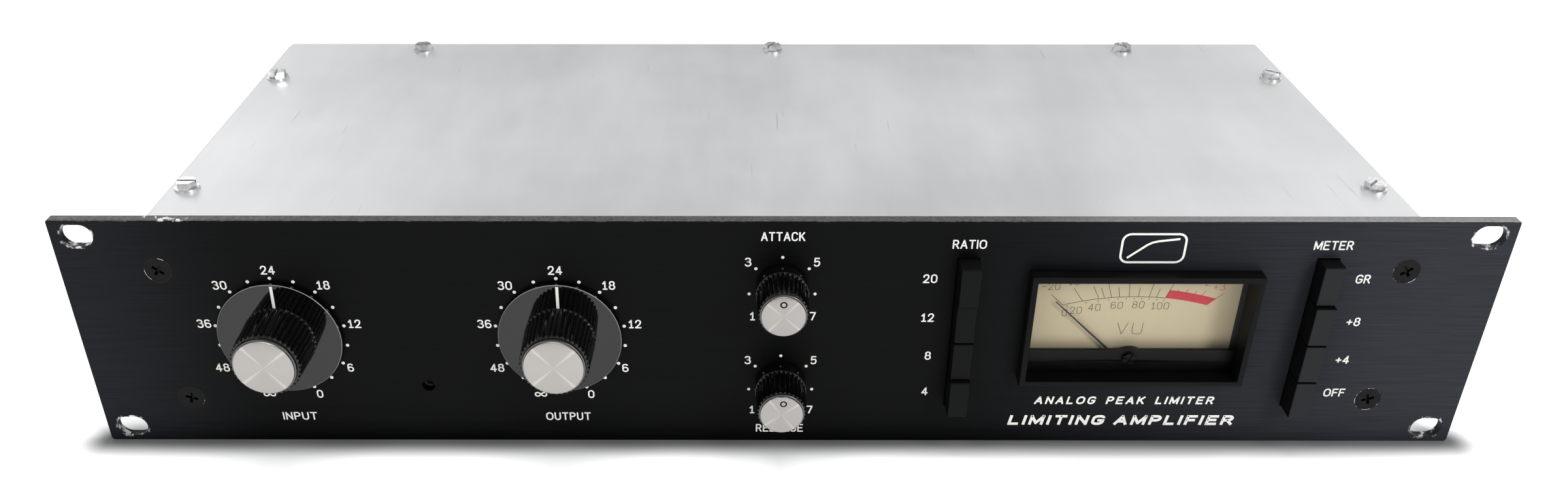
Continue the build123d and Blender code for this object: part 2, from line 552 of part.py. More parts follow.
def fuse_cap():
    """Turning cap of the fuse holder, with a screwdriver slot."""
    front = FUSE_FLANGE_T + FUSE_CAP_GAP
    end = front + FUSE_CAP_L
    cap = disc(FUSE_CAP_R, front, end)
    cap = chamfer(cap.edges().filter_by(GeomType.CIRCLE).sort_by(Axis.Z)[-1], FUSE_CAP_CHAMFER)
    cap -= plate(2 * FUSE_CAP_R, FUSE_SLOT_W, end - FUSE_SLOT_DEPTH, end + OVERCUT)
    return on_rear(*FUSE_AT) * (cap + disc(FUSE_PLUG_R, -FUSE_PLUG_L, front))


def strip_positions():
    """X of each terminal on the strip."""
    first = STRIP_X - (STRIP_COUNT - 1) * STRIP_PITCH / 2
    return [first + index * STRIP_PITCH for index in range(STRIP_COUNT)]


def terminal_strip():
    """Barrier strip for the audio input, output and earth."""
    length = STRIP_COUNT * STRIP_PITCH + BARRIER_T
    strip = plate(length, STRIP_H, 0, STRIP_T)
    for index in range(STRIP_COUNT + 1):
        x = (index - STRIP_COUNT / 2) * STRIP_PITCH
        strip += plate(BARRIER_T, STRIP_H, STRIP_T, STRIP_T + BARRIER_RISE, x)
    return on_rear(STRIP_X, STRIP_Z) * strip


def terminal_screws():
    """Slotted screws on the barrier strip."""
    screw = disc(STRIP_SCREW_R, STRIP_T, STRIP_T + STRIP_SCREW_H)
    floor = STRIP_T + STRIP_SCREW_H - STRIP_SLOT_DEPTH
    screw -= plate(2 * STRIP_SCREW_R, STRIP_SLOT_W, floor, 2 * STRIP_T)
    return group([on_rear(x, STRIP_Z) * screw for x in strip_positions()])


# ---- Inside ------------------------------------------------------------------------------

FLOOR_Z = -SIDE_H
BOARD_Z = FLOOR_Z + STANDOFF_H


def circuit_board():
    """Main circuit board."""
    return block(*BOARD_X, *BOARD_Y, BOARD_Z, BOARD_Z + BOARD_T)


def board_standoffs():
    """Pillars between the bottom cover and the board."""
    xs = (BOARD_X[0] + BOARD_EDGE, sum(BOARD_X) / 2, BOARD_X[1] - BOARD_EDGE)
    ys = (BOARD_Y[0] + BOARD_EDGE, BOARD_Y[1] - BOARD_EDGE)
    return group([post(x, y, FLOOR_Z, BOARD_Z, STANDOFF_R) for x in xs for y in ys])


def board_components():
    """Supply capacitors, transistor cans and resistors in rows on the board."""
    top = BOARD_Z + BOARD_T
    pieces = [post(x, CAPACITOR_Y, top, top + CAPACITOR_H, CAPACITOR_R) for x in CAPACITOR_X]
    for x in range(*COMPONENTS_X, TRANSISTOR_PITCH):
        pieces += [post(x, TRANSISTOR_Y, top, top + TRANSISTOR_H, TRANSISTOR_R)]
    for x in range(*COMPONENTS_X, RESISTOR_PITCH):
        for y in RESISTOR_Y:
            pieces += [rod(x, top + RESISTOR_R, y, y + RESISTOR_L, RESISTOR_R)]
    return group(pieces)


def transformer_core():
    """Laminated core of the power transformer, with its two windows."""
    x0, x1 = CORE_X
    y0, y1 = CORE_Y
    core = block(x0, x1, y0, y1, FLOOR_Z, FLOOR_Z + CORE_H)
    leg = (x1 - x0) / 6
    middle = (x0 + x1) / 2
    for side in (-1, 1):
        centre = middle + side * 1.5 * leg
        window = (centre - leg / 2, centre + leg / 2, y0 - OVERCUT, y1 + OVERCUT)
        core -= block(*window, FLOOR_Z + leg, FLOOR_Z + CORE_H - leg)
    return core


def transformer_winding():
    """Winding around the core's middle leg, in both windows and past both ends."""
    x0, x1 = CORE_X
    y0, y1 = CORE_Y
    leg = (x1 - x0) / 6
    middle = (x0 + x1) / 2
    low, high = FLOOR_Z + leg + COIL_GAP, FLOOR_Z + CORE_H - leg - COIL_GAP
    reach = 2 * leg - COIL_GAP
    coil = block(middle - reach, middle + reach, y0 - COIL_MARGIN, y1 + COIL_MARGIN, low, high)
    inner = leg + COIL_BORE_GAP
    bore = (y0 - COIL_BORE_GAP, y1 + COIL_BORE_GAP, low - OVERCUT, high + OVERCUT)
    return coil - block(middle - inner, middle + inner, *bore)


def signal_transformers():
    """Shielded input and output transformers."""
    return group([post(CAN_X, y, FLOOR_Z, FLOOR_Z + CAN_H, CAN_R) for y in CAN_Y])


# ---- Write every sub-part ----------------------------------------------------------------

save("front_panel", front_panel())
save("front_panel_screws", panel_screws())
save("chassis_left_side", chassis_side(-1))
save("chassis_right_side", chassis_side(1))
save("chassis_rear_panel", rear_panel())
save("chassis_front_wall", front_wall())
for side_name, side_sign in (("top", 1), ("bottom", -1)):
    save(f"{side_name}_cover", cover(side_sign))
    save(f"{side_name}_cover_screws", cover_screws(side_sign))

for control, spot in (("input", INPUT_AT), ("output", OUTPUT_AT)):
    save(f"{control}_knob_skirt", on_panel(*spot) * knob_skirt())
    save(f"{control}_knob_body", on_panel(*spot) * large_knob_body())
    save(f"{control}_knob_cap", on_panel(*spot) * large_knob_cap())
    save(f"{control}_control_shaft", on_panel(*spot) * control_shaft(LARGE_BODY_FRONT))
    save(f"{control}_control_body", on_panel(*spot) * control_body(LARGE_POT_R, LARGE_POT_L))
for control, spot, turn in (("attack", ATTACK_AT, 0.0), ("release", RELEASE_AT, RELEASE_TURN)):
    save(f"{control}_knob_body", on_panel(*spot, turn) * small_knob_body())
    save(f"{control}_knob_cap", on_panel(*spot, turn) * small_knob_cap())
    save(f"{control}_control_shaft", on_panel(*spot) * control_shaft(SMALL_BODY_FRONT))
    save(f"{control}_control_body", on_panel(*spot) * control_body(SMALL_POT_R, SMALL_POT_L))
save("control_nuts", control_nuts())

for row, name in enumerate(RATIO_NAMES):
    save(f"ratio_button_{name}", button(RATIO_X, row, name in RATIO_LATCHED))
for row, name in enumerate(METER_NAMES):
    save(f"meter_button_{name}", button(METER_KEY_X, row, name in METER_LATCHED))
save("ratio_switch_bank", switch_bank(RATIO_X))
save("meter_switch_bank", switch_bank(METER_KEY_X))

save("meter_bezel", meter_bezel())
save("meter_window", meter_window())
save("meter_lower_cover", meter_lower_cover())
save("meter_zero_screw", meter_zero_screw())
save("meter_needle", meter_needle())
save("meter_dial", meter_dial())
save("meter_case", meter_case())

save("trimmer_body", trimmer_body())
save("trimmer_rotor", trimmer_rotor())
save("mains_inlet", mains_inlet())
save("mains_inlet_pins", mains_inlet_pins())
save("fuse_holder", fuse_holder())
save("fuse_cap", fuse_cap())
save("terminal_strip", terminal_strip())
save("terminal_screws", terminal_screws())
save("circuit_board", circuit_board())
save("board_standoffs", board_standoffs())
save("board_components", board_components())
save("transformer_core", transformer_core())
save("transformer_winding", transformer_winding())
save("signal_transformers", signal_transformers())
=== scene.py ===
# %% [markdown]
# # A two-unit rack compressor
# A 19-inch panel carries two large level knobs, two small timing knobs, two columns of push buttons and a
# needle meter, with a shallow sheet-metal box behind it. The sizes and the places of everything come from
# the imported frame, so each cell below asks the frame where its piece is, and only adds shape detail and
# finish. Blender works in metres, and `MM` turns a millimetre into one.

import json
import math

import bmesh
import bpy
from mathutils import Matrix, Vector


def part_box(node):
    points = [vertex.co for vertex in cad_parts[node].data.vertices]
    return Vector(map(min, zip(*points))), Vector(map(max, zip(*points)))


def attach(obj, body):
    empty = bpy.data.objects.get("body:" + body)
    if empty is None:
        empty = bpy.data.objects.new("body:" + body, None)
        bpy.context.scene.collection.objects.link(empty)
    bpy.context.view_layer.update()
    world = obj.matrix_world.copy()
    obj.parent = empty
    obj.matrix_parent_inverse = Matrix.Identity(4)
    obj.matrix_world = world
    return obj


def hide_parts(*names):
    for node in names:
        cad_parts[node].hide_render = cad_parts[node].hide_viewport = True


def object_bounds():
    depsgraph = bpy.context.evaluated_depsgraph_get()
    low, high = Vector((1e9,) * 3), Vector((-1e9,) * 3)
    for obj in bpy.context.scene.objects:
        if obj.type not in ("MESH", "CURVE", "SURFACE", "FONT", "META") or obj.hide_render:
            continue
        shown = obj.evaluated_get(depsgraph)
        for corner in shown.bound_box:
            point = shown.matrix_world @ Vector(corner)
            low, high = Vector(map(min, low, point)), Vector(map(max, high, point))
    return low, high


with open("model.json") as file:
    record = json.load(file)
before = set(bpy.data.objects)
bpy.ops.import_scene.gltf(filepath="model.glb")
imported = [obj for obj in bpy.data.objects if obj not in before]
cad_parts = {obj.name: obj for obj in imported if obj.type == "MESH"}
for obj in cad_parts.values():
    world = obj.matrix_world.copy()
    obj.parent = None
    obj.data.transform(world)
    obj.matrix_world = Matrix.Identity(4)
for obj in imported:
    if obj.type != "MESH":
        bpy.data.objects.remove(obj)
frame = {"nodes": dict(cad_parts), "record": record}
cad_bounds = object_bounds()
MM = 0.001

# %% [markdown]
# ## Places on the panel
# Everything in front is built in one local frame: x to the right, y up and z out of the panel's face. A
# single matrix then stands the finished piece on the panel, which is simpler than modelling each piece
# upright in world axes.

# %% Read places from the frame
PANEL_LOW, PANEL_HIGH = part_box("front_panel")
PANEL_HALF_W, PANEL_HALF_H = PANEL_HIGH.x, PANEL_HIGH.z
FACE_Y, PANEL_FOOT = PANEL_LOW.y, PANEL_LOW.z
UPRIGHT = Matrix.Rotation(math.radians(90), 4, "X")


def middle(node):
    """Centre of a node's box."""
    low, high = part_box(node)
    return (low + high) / 2


def on_face(x, z, turn=0.0, up=0.0, lift=0.0):
    """Matrix from the local frame to a place on the panel's face.

    The turn is clockwise as seen from the front, in degrees. Up runs along the turned y axis, lift outwards.
    """
    spot = Matrix.Translation((x, FACE_Y, z)) @ UPRIGHT @ Matrix.Rotation(math.radians(-turn), 4, "Z")
    return spot @ Matrix.Translation((0, up, lift))


CONTROLS = ("input", "output", "attack", "release")
CONTROL_CENTRE = {control: middle(f"{control}_control_shaft") for control in CONTROLS}
METER_CENTRE = middle("meter_bezel")


def on_control(control, turn=0.0, up=0.0, lift=0.0):
    """The same matrix at a control's axis."""
    centre = CONTROL_CENTRE[control]
    return on_face(centre.x, centre.z, turn, up, lift)


print("panel face at y =", round(FACE_Y, 4), "meter at", tuple(round(v, 4) for v in METER_CENTRE))

# %% [markdown]
# ## A small language for materials
# A node tree is easier to read as arithmetic. `Wire` wraps one output socket, so `1 - mask * 2` adds its
# Math nodes by itself. `Finish` is one material: constants go straight on the shader, and `node` makes
# any other kind of node.


# %% Wire and Finish
class Wire:
    """One output socket in a material's node tree, with arithmetic."""

    def __init__(self, finish, socket):
        self.finish = finish
        self.socket = socket

    def math(self, operation, *others):
        """A Math node on this value and the others."""
        return self.finish.node("ShaderNodeMath", {"operation": operation}, [self, *others])

    def __add__(self, other):
        return self.math("ADD", other)

    __radd__ = __add__

    def __sub__(self, other):
        return self.math("SUBTRACT", other)

    def __rsub__(self, other):
        return self.finish.node("ShaderNodeMath", {"operation": "SUBTRACT"}, [other, self])

    def __mul__(self, other):
        return self.math("MULTIPLY", other)

    __rmul__ = __mul__

    def __abs__(self):
        return self.math("ABSOLUTE")

    def over(self, other):
        """The larger of two values."""
        return self.math("MAXIMUM", other)

    def under(self, other):
        """The smaller of two values."""
        return self.math("MINIMUM", other)

    def rise(self, low, high):
        """0 below low, 1 above high, and smooth in between. Swapped limits give a fall."""
        limits = {"From Min": low, "From Max": high}
        settings = {"interpolation_type": "SMOOTHSTEP", "clamp": True}
        return self.finish.node("ShaderNodeMapRange", settings, {"Value": self, **limits})


class Finish:
    """One procedural material, built around a Principled shader."""

    def __init__(self, name, **constants):
        self.material = bpy.data.materials.new(name)
        self.material.use_nodes = True
        self.tree = self.material.node_tree
        self.shader = self.tree.nodes["Principled BSDF"]
        for socket, value in constants.items():
            self.shader.inputs[socket.replace("_", " ")].default_value = value

    def node(self, kind, settings=None, inputs=None, out=0):
        """A node with its settings, then its inputs by name or in order, as values or wires."""
        made = self.tree.nodes.new(kind)
        for key, value in (settings or {}).items():
            setattr(made, key, value)
        pairs = inputs.items() if isinstance(inputs, dict) else enumerate(inputs or [])
        for key, value in pairs:
            if isinstance(value, Wire):
                self.tree.links.new(value.socket, made.inputs[key])
            else:
                made.inputs[key].default_value = value
        return Wire(self, made.outputs[out])

    def place(self, scale=(1, 1, 1), turn=(0, 0, 0), origin=(0, 0, 0)):
        """Object coordinates from an origin, turned and then stretched."""
        here = self.node("ShaderNodeTexCoord", out="Object")
        moved = self.node("ShaderNodeVectorMath", {"operation": "SUBTRACT"}, [here, origin])
        settings = {"vector_type": "POINT"}
        return self.node("ShaderNodeMapping", settings, {"Vector": moved, "Rotation": turn, "Scale": scale})

    def axes(self, origin=(0, 0, 0)):
        """The three object coordinates, each as a value."""
        split = self.node("ShaderNodeSeparateXYZ", inputs=[self.place(origin=origin)])
        outputs = split.socket.node.outputs
        return [Wire(self, outputs[index]) for index in range(3)]

    def noise(self, *scale, turn=0.0, detail=3.0, roughness=0.55):
        """Fractal noise from 0 to 1. One scale, in grains per metre, serves all axes, or each has its own."""
        where = self.place(scale * 3 if len(scale) == 1 else scale, (0, 0, turn))
        inputs = {"Vector": where, "Scale": 1.0, "Detail": detail, "Roughness": roughness}
        return self.node("ShaderNodeTexNoise", inputs=inputs)

    def blend(self, factor, first, second):
        """Colour mix of two colours or wires."""
        inputs = {0: factor, 6: first, 7: second}
        return self.node("ShaderNodeMix", {"data_type": "RGBA"}, inputs, out=2)

    def feed(self, **wires):
        """Connect wires to the shader's sockets."""
        for socket, wire in wires.items():
            self.tree.links.new(wire.socket, self.shader.inputs[socket.replace("_", " ")])
        return self

    def bump(self, height, strength, distance):
        """Raise the surface by a height wire, in metres at full height."""
        inputs = {"Height": height, "Strength": strength, "Distance": distance}
        return self.feed(Normal=self.node("ShaderNodeBump", inputs=inputs))


def grey(level, warm=0.0):
    """A linear grey, slightly warm or cool."""
    return (level * (1 + warm), level, level * (1 - warm), 1)


def shaded(colour, factor, lift=0.0):
    """A colour made darker or lighter, but never brighter than white."""
    return tuple(min(1.0, channel * factor + lift) for channel in colour[:3]) + (1,)


print("a warm grey:", grey(0.5, 0.05))

# %% [markdown]
# ## Black anodised panel
# The panel is aluminium, brushed from side to side and dyed black. A plain dark colour would look like
# plastic, so long thin noise gives the brushing. The dye is painted paler and bluer towards both ends, most
# at the right, as a painted sheen. It is worn to bare metal where screws rubbed the slots' rims and where
# the top edge was knocked, with a thin bare line along the top edge that is stronger in the right third. The
# distance to a slot's rim is worked out from the rack's own spacing, so the wear follows the slots by itself.

# %% Panel finish
RACK = next(m for m in frame["record"]["mounts"] if m["name"] == "rack_slots")["dims"]
SLOT_X, SLOT_Z = RACK["spacing_x_mm"] * MM / 2, RACK["spacing_y_mm"] * MM / 2
SLOT_R = RACK["hole_r_mm"] * MM
SLOT_STRAIGHT = RACK["slot_length_mm"] * MM / 2 - SLOT_R
CHIPS_FROM, CHIPS_TO, CHIPS_SOFT = -216 * MM, -193 * MM, 4 * MM
PAINTED_SHEEN_TONE = (0.042, 0.046, 0.057, 1)


def rim_distance(x, z):
    """Distance outwards from the nearest slot's rim."""
    beyond = (abs(abs(x) - SLOT_X) - SLOT_STRAIGHT).over(0.0)
    up = abs(abs(z) - SLOT_Z)
    return (beyond * beyond + up * up).math("SQRT") - SLOT_R


def black_anodised():
    """Brushed black panel with worn slot rims, a chipped top edge, and dye painted paler at both ends as a
    sheen.
    """
    finish = Finish("black_anodised", Metallic=0.0, Specular_IOR_Level=0.058)
    x, _, z = finish.axes()
    streak = finish.noise(40, 40, 2600, detail=2)
    broad = finish.noise(9, 9, 420)
    patch = finish.noise(14, detail=4)
    chip = finish.noise(900)
    scuff = finish.noise(250, 250, 170, roughness=0.6).rise(0.5, 0.62)
    rim_wear = (rim_distance(x, z) - chip * (2.0 * MM)).rise(-0.2 * MM, -0.8 * MM) * scuff
    top_gap = PANEL_HALF_H - z
    knocked = finish.noise(240, detail=4, roughness=0.7).rise(0.52, 0.62)
    left_end = x.rise(CHIPS_TO, CHIPS_TO - CHIPS_SOFT) * x.rise(CHIPS_FROM, CHIPS_FROM + CHIPS_SOFT)
    right_third = x.rise(75 * MM, 115 * MM)
    chips = top_gap.rise(0.8 * MM, 0.3 * MM) * knocked * (left_end + 0.12).under(1.0)
    line = top_gap.rise(0.42 * MM, 0.28 * MM) * (chip * 0.5 + right_third * 0.35)
    bare = rim_wear.over(chips).over(line * 0.6)
    dye = finish.blend(streak * 0.6 + broad * 0.4, grey(0.0004, -0.05), grey(0.0036, -0.1))
    # Painted sheen: the dye is painted paler and bluer towards both ends, most at the right.
    painted_end_sheen = x.rise(50 * MM, 235 * MM) * 0.54 + x.rise(-175 * MM, -250 * MM) * 0.24
    dye = finish.blend(painted_end_sheen * (streak * 1.1 + 0.45), dye, PAINTED_SHEEN_TONE)
    colour = finish.blend(bare, dye, grey(0.6, 0.02))
    rough = 0.3 + streak * 0.14 + patch * 0.08 - broad * 0.05
    finish.feed(Base_Color=colour, Roughness=rough - bare * 0.1, Metallic=bare)
    return finish.bump(streak * 0.8 + broad * 0.2, 0.6, 0.09 * MM)


PANEL_FINISH = black_anodised()
print("slot rims at x =", round(SLOT_X, 4), "z =", round(SLOT_Z, 4))

# %% [markdown]
# ## Sheet aluminium
# The covers are plain aluminium sheet with years of handling on them. Two scales of cloudy noise change
# the colour and the roughness a little, so the sheet reflects its surroundings unevenly, and a few short
# hairline scratches catch the light. The folded chassis behind is the same metal, a little duller.


# %% Cover and chassis finishes
def sheet_metal(name, level, smudge):
    """Satin aluminium sheet with soft clouds, fine grain and a few short hairline scratches."""
    finish = Finish(name, Metallic=1.0)
    clouds = finish.noise(7, 10, 7, detail=4, roughness=0.5)
    wipes = finish.noise(34, 8, 20, turn=0.5, detail=6, roughness=0.65)
    grain = finish.noise(90, 5200, 5200, detail=2)
    hair = finish.noise(900, 26, 300, turn=0.3, detail=1)
    scratch = hair.rise(0.7, 0.76) * finish.noise(18, detail=2).rise(0.56, 0.64)
    tone = clouds * 0.6 + wipes * 0.4
    colour = finish.blend(tone.rise(0.25, 0.75), grey(level * (1 - smudge)), grey(level))
    colour = finish.blend(scratch * 0.5, colour, grey(level * 0.6))
    rough = 0.4 + clouds * 0.12 + wipes * 0.08 + grain * 0.06
    finish.feed(Base_Color=colour, Roughness=rough)
    return finish.bump(grain * 0.5 + scratch * 0.5, 0.12, 0.03 * MM)


COVER_FINISH = sheet_metal("cover_sheet", 0.89, 0.16)
CHASSIS_FINISH = sheet_metal("chassis_sheet", 0.7, 0.12)
print("sheet finishes:", COVER_FINISH.material.name, CHASSIS_FINISH.material.name)

# %% [markdown]
# ## Turned and plated metal
# Knob caps are turned on a lathe, so their faces keep rings too fine to see one by one. A ring-shaped
# bump spreads the highlights as such a face does. The bow tie of thin bright arms that such a face shows is
# a painted highlight, drawn in the colour by the angle around the axis, because it is too fine for soft
# light to find. Paler quarters between the arms are a painted reflection, and the cap's side behind its
# front is painted darker as shade. Screws are zinc plated, with dull blotches, and the shafts and frames
# inside have the same plating in other greys.

# %% Metal finishes
COARSE_RING, FINE_RING = 0.42 * MM, 0.17 * MM


def turned_cap(name, centre, glint, level, front):
    """Spun aluminium whose rings are centred on one knob, with a painted bow-tie highlight and reflection,
    and a side behind its front painted darker as shade.
    """
    finish = Finish(name, Metallic=1.0)
    x, depth, z = finish.axes(origin=(centre.x, front, centre.z))
    radius = (x * x + z * z).math("SQRT")
    wobble = finish.noise(300, detail=2)
    rings = (radius * (2 * math.pi / COARSE_RING) + wobble * 3).math("SINE")
    fine = (radius * (2 * math.pi / FINE_RING) + wobble * 5).math("SINE")
    turn = z.math("ARCTAN2", x)
    # Painted highlight: thin bright arms of a bow tie and paler quarters, set by the angle around the axis.
    painted_glint_arms = abs((turn * 2 + glint).math("SINE")).math("POWER", 140.0)
    painted_reflection_quarters = (turn * 2).math("COSINE") * 0.5 + 0.5
    sheen = painted_glint_arms * 0.9 + painted_reflection_quarters * 0.16 + rings * 0.04
    shade = finish.blend(sheen, grey(level * 0.84, 0.05), grey(level * 1.16, 0.05))
    # Painted shade: the side behind the cap's front is painted darker.
    side = depth.rise(0.42 * MM, 0.62 * MM)
    shade = finish.blend(side, shade, grey(level * 0.3, 0.02))
    finish.feed(Base_Color=shade, Roughness=0.26 + wobble * 0.12 + rings * 0.02)
    return finish.bump(rings * 0.25 + fine * 0.25 + 0.5, 0.4, 0.012 * MM)


def plated(name, colour, rough=0.28):
    """Plated metal with dull blotches and fine pits."""
    finish = Finish(name, Metallic=1.0)
    blotch = finish.noise(420, detail=4)
    pits = finish.noise(2600, detail=2)
    finish.feed(Base_Color=finish.blend(blotch.rise(0.35, 0.65), shaded(colour, 0.72), colour))
    finish.feed(Roughness=rough + blotch * 0.18)
    return finish.bump(pits, 0.12, 0.02 * MM)


ZINC = plated("zinc_plate", grey(0.78), 0.16)
STEEL = plated("turned_steel", grey(0.5), 0.32)
BRASS = plated("plated_brass", (0.62, 0.52, 0.33, 1))
# Painted shade: the trimmer's rotor sits down in its hole, so its brass is painted nearly black.
SHADE_DARKENED_BRASS = plated("brass_darkened_as_shade", (0.05, 0.04, 0.025, 1), 0.5)
SWITCH_STEEL = plated("switch_frame_steel", grey(0.5), 0.4)
LAMINATION = plated("varnished_lamination", grey(0.1), 0.5)
print("ring spacing on the caps:", COARSE_RING, "and", FINE_RING)

# %% [markdown]
# ## Mouldings and paint
# Most of the dark pieces are moulded, but not alike: the knobs are glossy, the push buttons are matt with
# dust rubbed into their edges, and the bezel has a fine spark-eroded grain. One function makes them all
# from a colour, a roughness and a grain size.

# %% Moulded finishes
# Depth over which a front face takes its painted sheen.
FRONT_SHEEN_FROM, FRONT_SHEEN_FULL = 0.35 * MM, 0.05 * MM


def moulded(name, colour, rough, grain=0.0, dust=0.0, shine=0.3, front=None, rubbed=0.012):
    """Moulded plastic with mottled gloss, grain and dust; a front face, if given, gets a painted sheen of
    grey.
    """
    finish = Finish(name, Specular_IOR_Level=shine)
    mottle = finish.noise(130, detail=4)
    speck = finish.noise(2300, detail=2)
    lint = finish.noise(700, 700, 260, detail=5, roughness=0.7).rise(0.6, 0.78)
    shade = finish.blend(mottle, colour, shaded(colour, 1.35, 0.002))
    shade = finish.blend(lint * dust, shade, grey(0.22, 0.08))
    # Painted sheen: a front face, if given, is painted towards the grey given as rubbed.
    if front is not None:
        front_sheen_mask = finish.axes()[1].rise(front + FRONT_SHEEN_FROM, front + FRONT_SHEEN_FULL)
        shade = finish.blend(front_sheen_mask, shade, grey(rubbed, -0.06))
    finish.feed(Base_Color=shade, Roughness=rough + mottle * 0.08 + lint * dust * 0.5)
    return finish.bump(speck, 0.08 + grain, 0.03 * MM)


BEZEL_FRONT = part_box("meter_bezel")[0].y
KNOB_BLACK = moulded("knob_moulding", grey(0.0008), 0.07, dust=0.02, shine=0.4)
# Painted sheen: the bezel's front face is painted a faint grey.
BEZEL_BLACK = moulded(
    "bezel_moulding", grey(0.0018), 0.36, grain=0.15, dust=0.05, shine=0.07, front=BEZEL_FRONT, rubbed=0.004
)
COVER_BLACK = moulded("meter_cover_moulding", grey(0.003), 0.3, dust=0.04, shine=0.1)
SCREW_BLACK = moulded("black_oxide", grey(0.001), 0.26, grain=0.1, dust=0.05, shine=0.12)
CASE_BLACK = moulded("meter_case_moulding", grey(0.05), 0.5, grain=0.1)
CONNECTOR_BLACK = moulded("connector_moulding", grey(0.016), 0.4, grain=0.1)
BOARD_GREEN = moulded("board_laminate", (0.02, 0.11, 0.045, 1), 0.4, grain=0.2)
COMPONENT = moulded("lacquered_component", (0.05, 0.07, 0.2, 1), 0.35)
WINDING_TAPE = moulded("winding_tape", (0.5, 0.36, 0.08, 1), 0.45, grain=0.3)
CAN_PAINT = moulded("painted_can", grey(0.2), 0.4, grain=0.1)
print("bezel's front at y =", round(BEZEL_FRONT, 4))

# %% [markdown]
# ## Acrylic
# A refracting shader would leave the dial behind the window dark, so acrylic is a mix of a see-through
# shader and a glossy one, whose share grows towards grazing angles. The window is nearly all see-through.
# The skirts are clear discs over a black panel, so in them the glossy share is large and black: this
# looks the same and has less noise.


# %% Acrylic finishes
def clear_acrylic(name, gleam, body=0.0, centre=(0, 0, 0), rim=1.0, front=0.0):
    """Acrylic whose glossy share is its body plus its gleam. Past the rim, near the front, it is frosted."""
    finish = Finish(name, Specular_IOR_Level=0.64 if body else 1.0)
    facing = finish.node("ShaderNodeLayerWeight", inputs={"Blend": 0.5}, out="Facing")
    smear = finish.noise(60, 60, 22, detail=4).rise(0.5, 0.75)
    x, depth, z = finish.axes(origin=(centre[0], front, centre[2]))
    edge = (x * x + z * z).math("SQRT").rise(rim - 0.06 * MM, rim) * depth.rise(0.3 * MM, 0.1 * MM)
    tone = finish.blend(edge, grey(0.0012), grey(0.3))
    finish.feed(Base_Color=tone, Roughness=0.03 + smear * 0.04 + edge * 0.4)
    clear = finish.node("ShaderNodeBsdfTransparent", inputs={"Color": grey(0.97)})
    glossy = Wire(finish, finish.shader.outputs[0])
    share = (facing.math("POWER", 5.0) * 0.5 + smear * gleam * 0.3 + edge + (body + gleam)).under(1.0)
    surface = finish.node("ShaderNodeMixShader", inputs=[share, clear, glossy])
    finish.tree.links.new(surface.socket, finish.tree.nodes["Material Output"].inputs["Surface"])
    return finish


WINDOW_CLEAR = clear_acrylic("window_acrylic", 0.02)
print("window finish:", WINDOW_CLEAR.material.name)

# %% [markdown]
# ## Printed inks and the dial card
# Inks sit on their surface as a film, thin but with a real edge. Printing wears, so each ink has a slight
# mottle instead of one flat value. The card is a warm cream, painted darker and warmer towards its edges
# as shade.


# %% Ink and card finishes
def ink(name, colour, rough=0.55):
    """Screen-printed ink with a faint mottle."""
    finish = Finish(name, Specular_IOR_Level=0.3)
    mottle = finish.noise(1500)
    worn = finish.blend(mottle, shaded(colour, 0.85), colour)
    return finish.feed(Base_Color=worn, Roughness=rough + mottle * 0.1)


def dial_card():
    """Cream card, painted darker and a little warmer towards its edges as shade."""
    finish = Finish("dial_card", Specular_IOR_Level=0.25)
    x, _, z = finish.axes(origin=METER_CENTRE)
    fibre = finish.noise(900)
    # Painted shade: the card is darker towards its edges.
    painted_edge_shade = (abs(x) * 24).math("POWER", 2.0) + (abs(z) * 30).math("POWER", 2.0)
    factor = (painted_edge_shade * 0.35 + fibre * 0.25).under(1.0)
    card = finish.blend(factor, (0.61, 0.52, 0.35, 1), (0.49, 0.41, 0.26, 1))
    return finish.feed(Base_Color=card, Roughness=0.6 + fibre * 0.2)


WHITE_INK = ink("white_ink", (0.86, 0.85, 0.8, 1))
BLACK_INK = ink("dial_black_ink", grey(0.06))
RED_INK = ink("dial_red_ink", (0.6, 0.06, 0.07, 1))
NEEDLE_PAINT = ink("needle_paint", grey(0.03), 0.4)
# Painted shadow: a near-black film laid in the gap around each panel screw.
PAINTED_GAP_SHADOW = ink("gap_shadow", grey(0.0006), 0.8)
DIAL_CARD = dial_card()
print("finishes so far:", len(bpy.data.materials))

# %% [markdown]
# ## Finishes for the carried-over nodes
# A node whose shape is already right keeps its own mesh and only gets a better finish. This table pairs
# each such node with one, including those inside the case, which show when the covers are off.

# %% Finish each node
NODE_FINISH = {
    "chassis_left_side": CHASSIS_FINISH,
    "chassis_right_side": CHASSIS_FINISH,
    "chassis_rear_panel": CHASSIS_FINISH,
    "chassis_front_wall": CHASSIS_FINISH,
    "control_nuts": ZINC,
    "ratio_switch_bank": SWITCH_STEEL,
    "meter_switch_bank": SWITCH_STEEL,
    "meter_case": CASE_BLACK,
    "trimmer_body": CONNECTOR_BLACK,
    "trimmer_rotor": SHADE_DARKENED_BRASS,
    "mains_inlet_pins": BRASS,
    "fuse_holder": CONNECTOR_BLACK,
    "circuit_board": BOARD_GREEN,
    "board_standoffs": ZINC,
    "board_components": COMPONENT,
    "transformer_core": LAMINATION,
    "transformer_winding": WINDING_TAPE,
    "signal_transformers": CAN_PAINT,
    "meter_dial": DIAL_CARD,
}
for control in CONTROLS:
    NODE_FINISH[f"{control}_control_shaft"] = STEEL
    NODE_FINISH[f"{control}_control_body"] = SWITCH_STEEL


def repaint(obj, finish):
    """Give an object one finish, in place of what it had."""
    obj.data.materials.clear()
    obj.data.materials.append(finish.material)


for node, finish in NODE_FINISH.items():
    repaint(frame["nodes"][node], finish)
print("nodes that keep their mesh:", len(NODE_FINISH))

# %% [markdown]
# ## Making pieces
# Three helpers cover almost everything. `turned` spins a profile on a lathe. `softened` copies a node's
# mesh, merges it and rounds its edges, because no real edge is perfectly sharp and a rounded one catches
# a line of light. `finished` turns a bmesh into an object that rides on its body.

